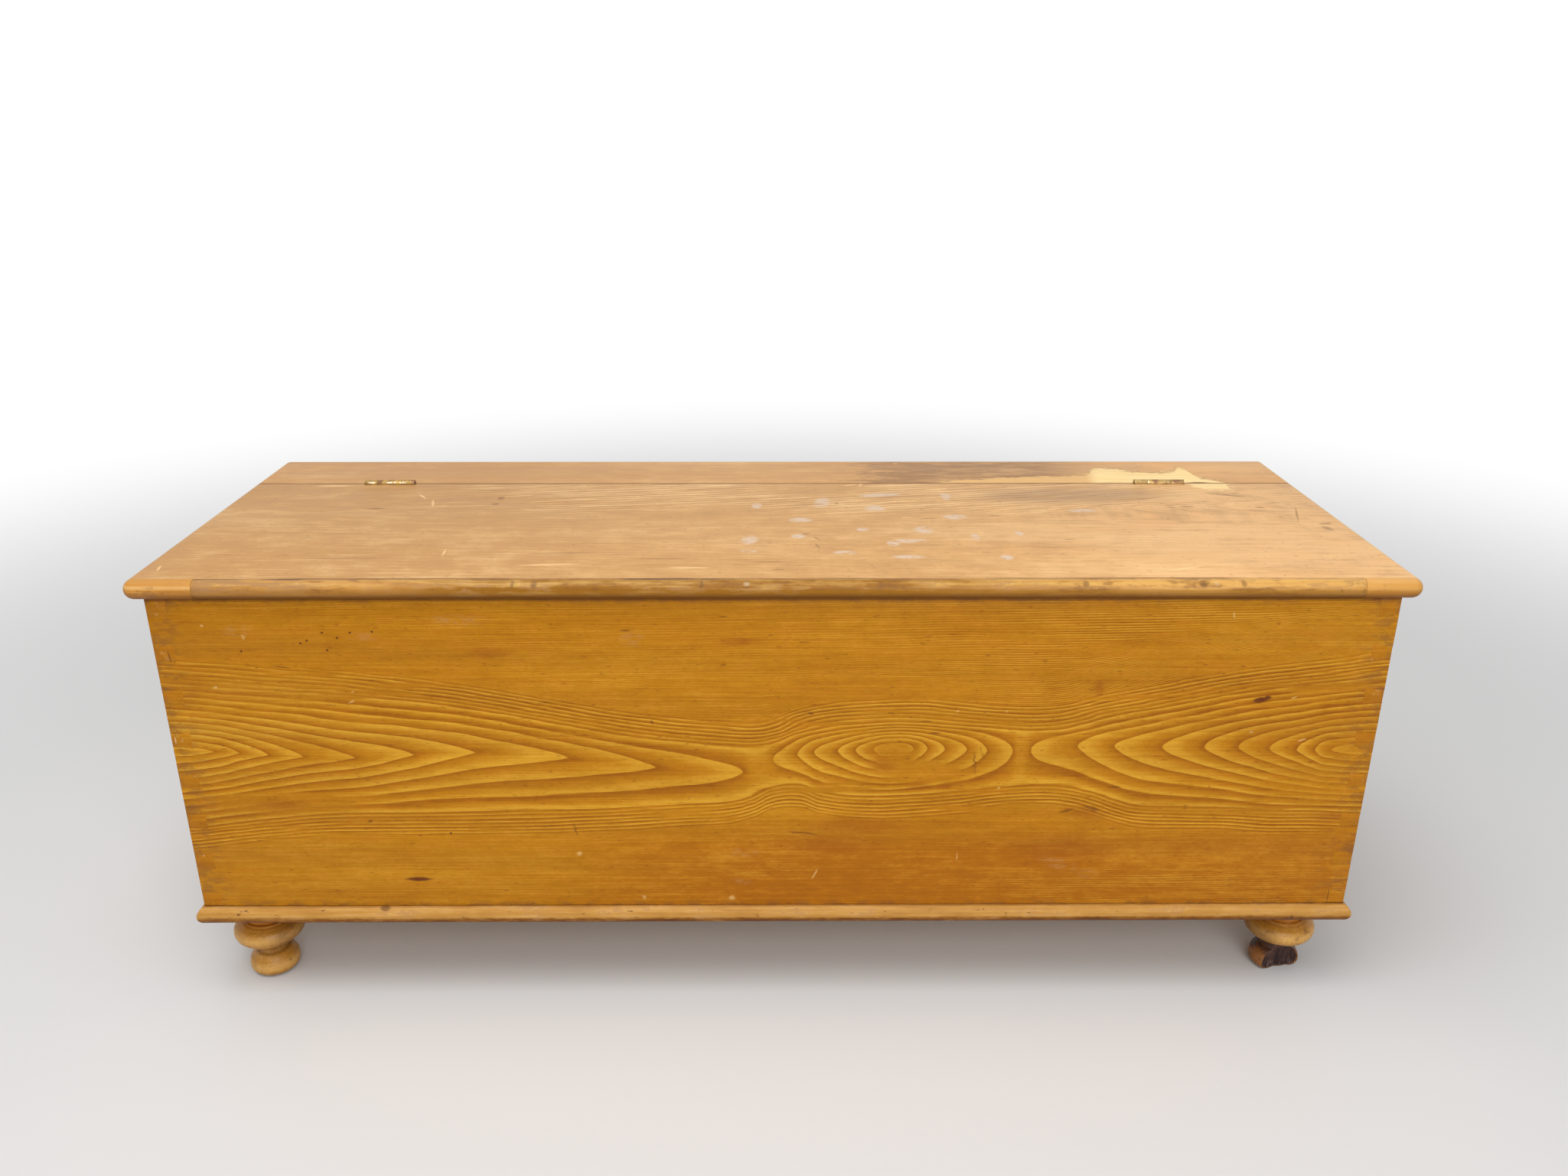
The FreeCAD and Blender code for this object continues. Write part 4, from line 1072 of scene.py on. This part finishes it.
# The gleams are painted highlights on the barrels; the stains are brown tarnish.
LEFT_PAINTED_GLEAMS = ((-515.6, 7), (-492.5, 6), (-486, 2), (-475.5, 6))
LEFT_STAINS = ((-504, 4), (-463, 3))
RIGHT_PAINTED_GLEAMS = ((479, 1.6), (504, 1.2))
RIGHT_STAINS = ((515, 8), (488, 5))

left_brass = hinge_brass("left_hinge_brass", (180, 146, 84), (136, 106, 58), LEFT_PAINTED_GLEAMS, LEFT_STAINS)
right_brass = hinge_brass("right_hinge_brass", (190, 160, 104), (152, 122, 72), RIGHT_PAINTED_GLEAMS, RIGHT_STAINS)
for side, brass in (("left", left_brass), ("right", right_brass)):
    for body, leaf in (("case", "rail_hinge_leaf"), ("lid", "lid_hinge_leaf")):
        refinish(f"{leaf}_{side}", body, "hinge_brass", brass, FINE_EASE, 2, 50)
    paint(f"hinge_pin_{side}", dark_iron(f"{side}_pin_steel", (120, 112, 104), (110, 74, 48), 0.5))
old_iron = dark_iron("old_iron", (86, 80, 76), (104, 62, 38), 0.45)
for node in ("bottom_nails", "moulding_brads", "rail_hinge_screws", "lid_hinge_screws"):
    paint(node, old_iron)
paint("rail_nails", stopped_heads())


# ---- camera, light and floor

CAMERA_PLACE = Vector((0.0013, -1.41165, 0.9685))
CAMERA_PITCH = math.radians(21.204)
CAMERA_YAW = math.radians(0.383)
CAMERA_ROLL = math.radians(-0.07)
LENS = 28.56
SENSOR = 36.0
CHEST_MIDDLE = Vector((0, 0, 0.3))

bpy.ops.object.camera_add()
camera = bpy.context.object
camera.name = "camera"
camera.data.lens = LENS
camera.data.sensor_width = SENSOR
camera.data.clip_end = 100
looking = Matrix.Rotation(-CAMERA_YAW, 4, "Z") @ Matrix.Rotation(QUARTER - CAMERA_PITCH, 4, "X")
camera.matrix_world = Matrix.Translation(CAMERA_PLACE) @ looking @ Matrix.Rotation(-CAMERA_ROLL, 4, "Z")
bpy.context.scene.camera = camera


def soft_lamp(name, place, size, power):
    """A large square lamp aimed at the chest."""
    bpy.ops.object.light_add(type="AREA", location=place)
    lamp = bpy.context.object
    lamp.name = name
    lamp.data.size = size
    lamp.data.energy = power
    aim = CHEST_MIDDLE - Vector(place)
    lamp.rotation_euler = aim.to_track_quat("-Z", "Y").to_euler()


soft_lamp("overhead_lamp", (-0.6, -0.8, 3.2), 2.4, 62)
soft_lamp("front_lamp", (0.7, -3.2, 1.9), 2.2, 52)

SKY_LIGHT = 0.4
WHITE = (1, 1, 1, 1)

world = bpy.data.worlds.new("studio")
bpy.context.scene.world = world
world.use_nodes = True
world.node_tree.nodes.clear()
sky = Wiring(world.node_tree)
dim = sky.node("ShaderNodeBackground", None, {"Color": WHITE, "Strength": SKY_LIGHT})
bright = sky.node("ShaderNodeBackground", None, {"Color": WHITE, "Strength": 1.0})
straight, mirrored, through = (
    sky.node("ShaderNodeLightPath", out=f"Is {kind} Ray") for kind in ("Camera", "Glossy", "Transmission")
)
seen = straight.at_least(mirrored).at_least(through)
either = sky.node("ShaderNodeMixShader", None, {0: seen, 1: dim, 2: bright})
sky_out = sky.tree.nodes.new("ShaderNodeOutputWorld")
sky.feed(sky_out.inputs["Surface"], either)


def studio_paper():
    """Pale paper that takes the chest's shadow and fades to plain white further off."""
    f = Finish("studio_paper", shine=0, Base_Color=(0.74, 0.74, 0.74, 1), Roughness=0.9)
    seen_by_camera = f.node("ShaderNodeLightPath", out="Is Camera Ray")
    glare = f.node("ShaderNodeEmission", None, {"Color": WHITE, "Strength": 1.0})
    lit = Wire(f, f.shader.outputs[0])
    far_off = f.rise(f.length(f.at), 1.1, 3)
    mixed = f.node("ShaderNodeMixShader", None, {0: far_off * seen_by_camera, 1: lit, 2: glare})
    f.feed(f.tree.nodes["Material Output"].inputs["Surface"], mixed)
    return f.material


bpy.ops.object.select_all(action="DESELECT")
bpy.ops.mesh.primitive_plane_add(size=60, location=(0, 0, 0))
floor = bpy.context.object
floor.name = "studio_floor"
floor.data.materials.append(studio_paper())

bpy.context.scene.view_settings.view_transform = "Standard"
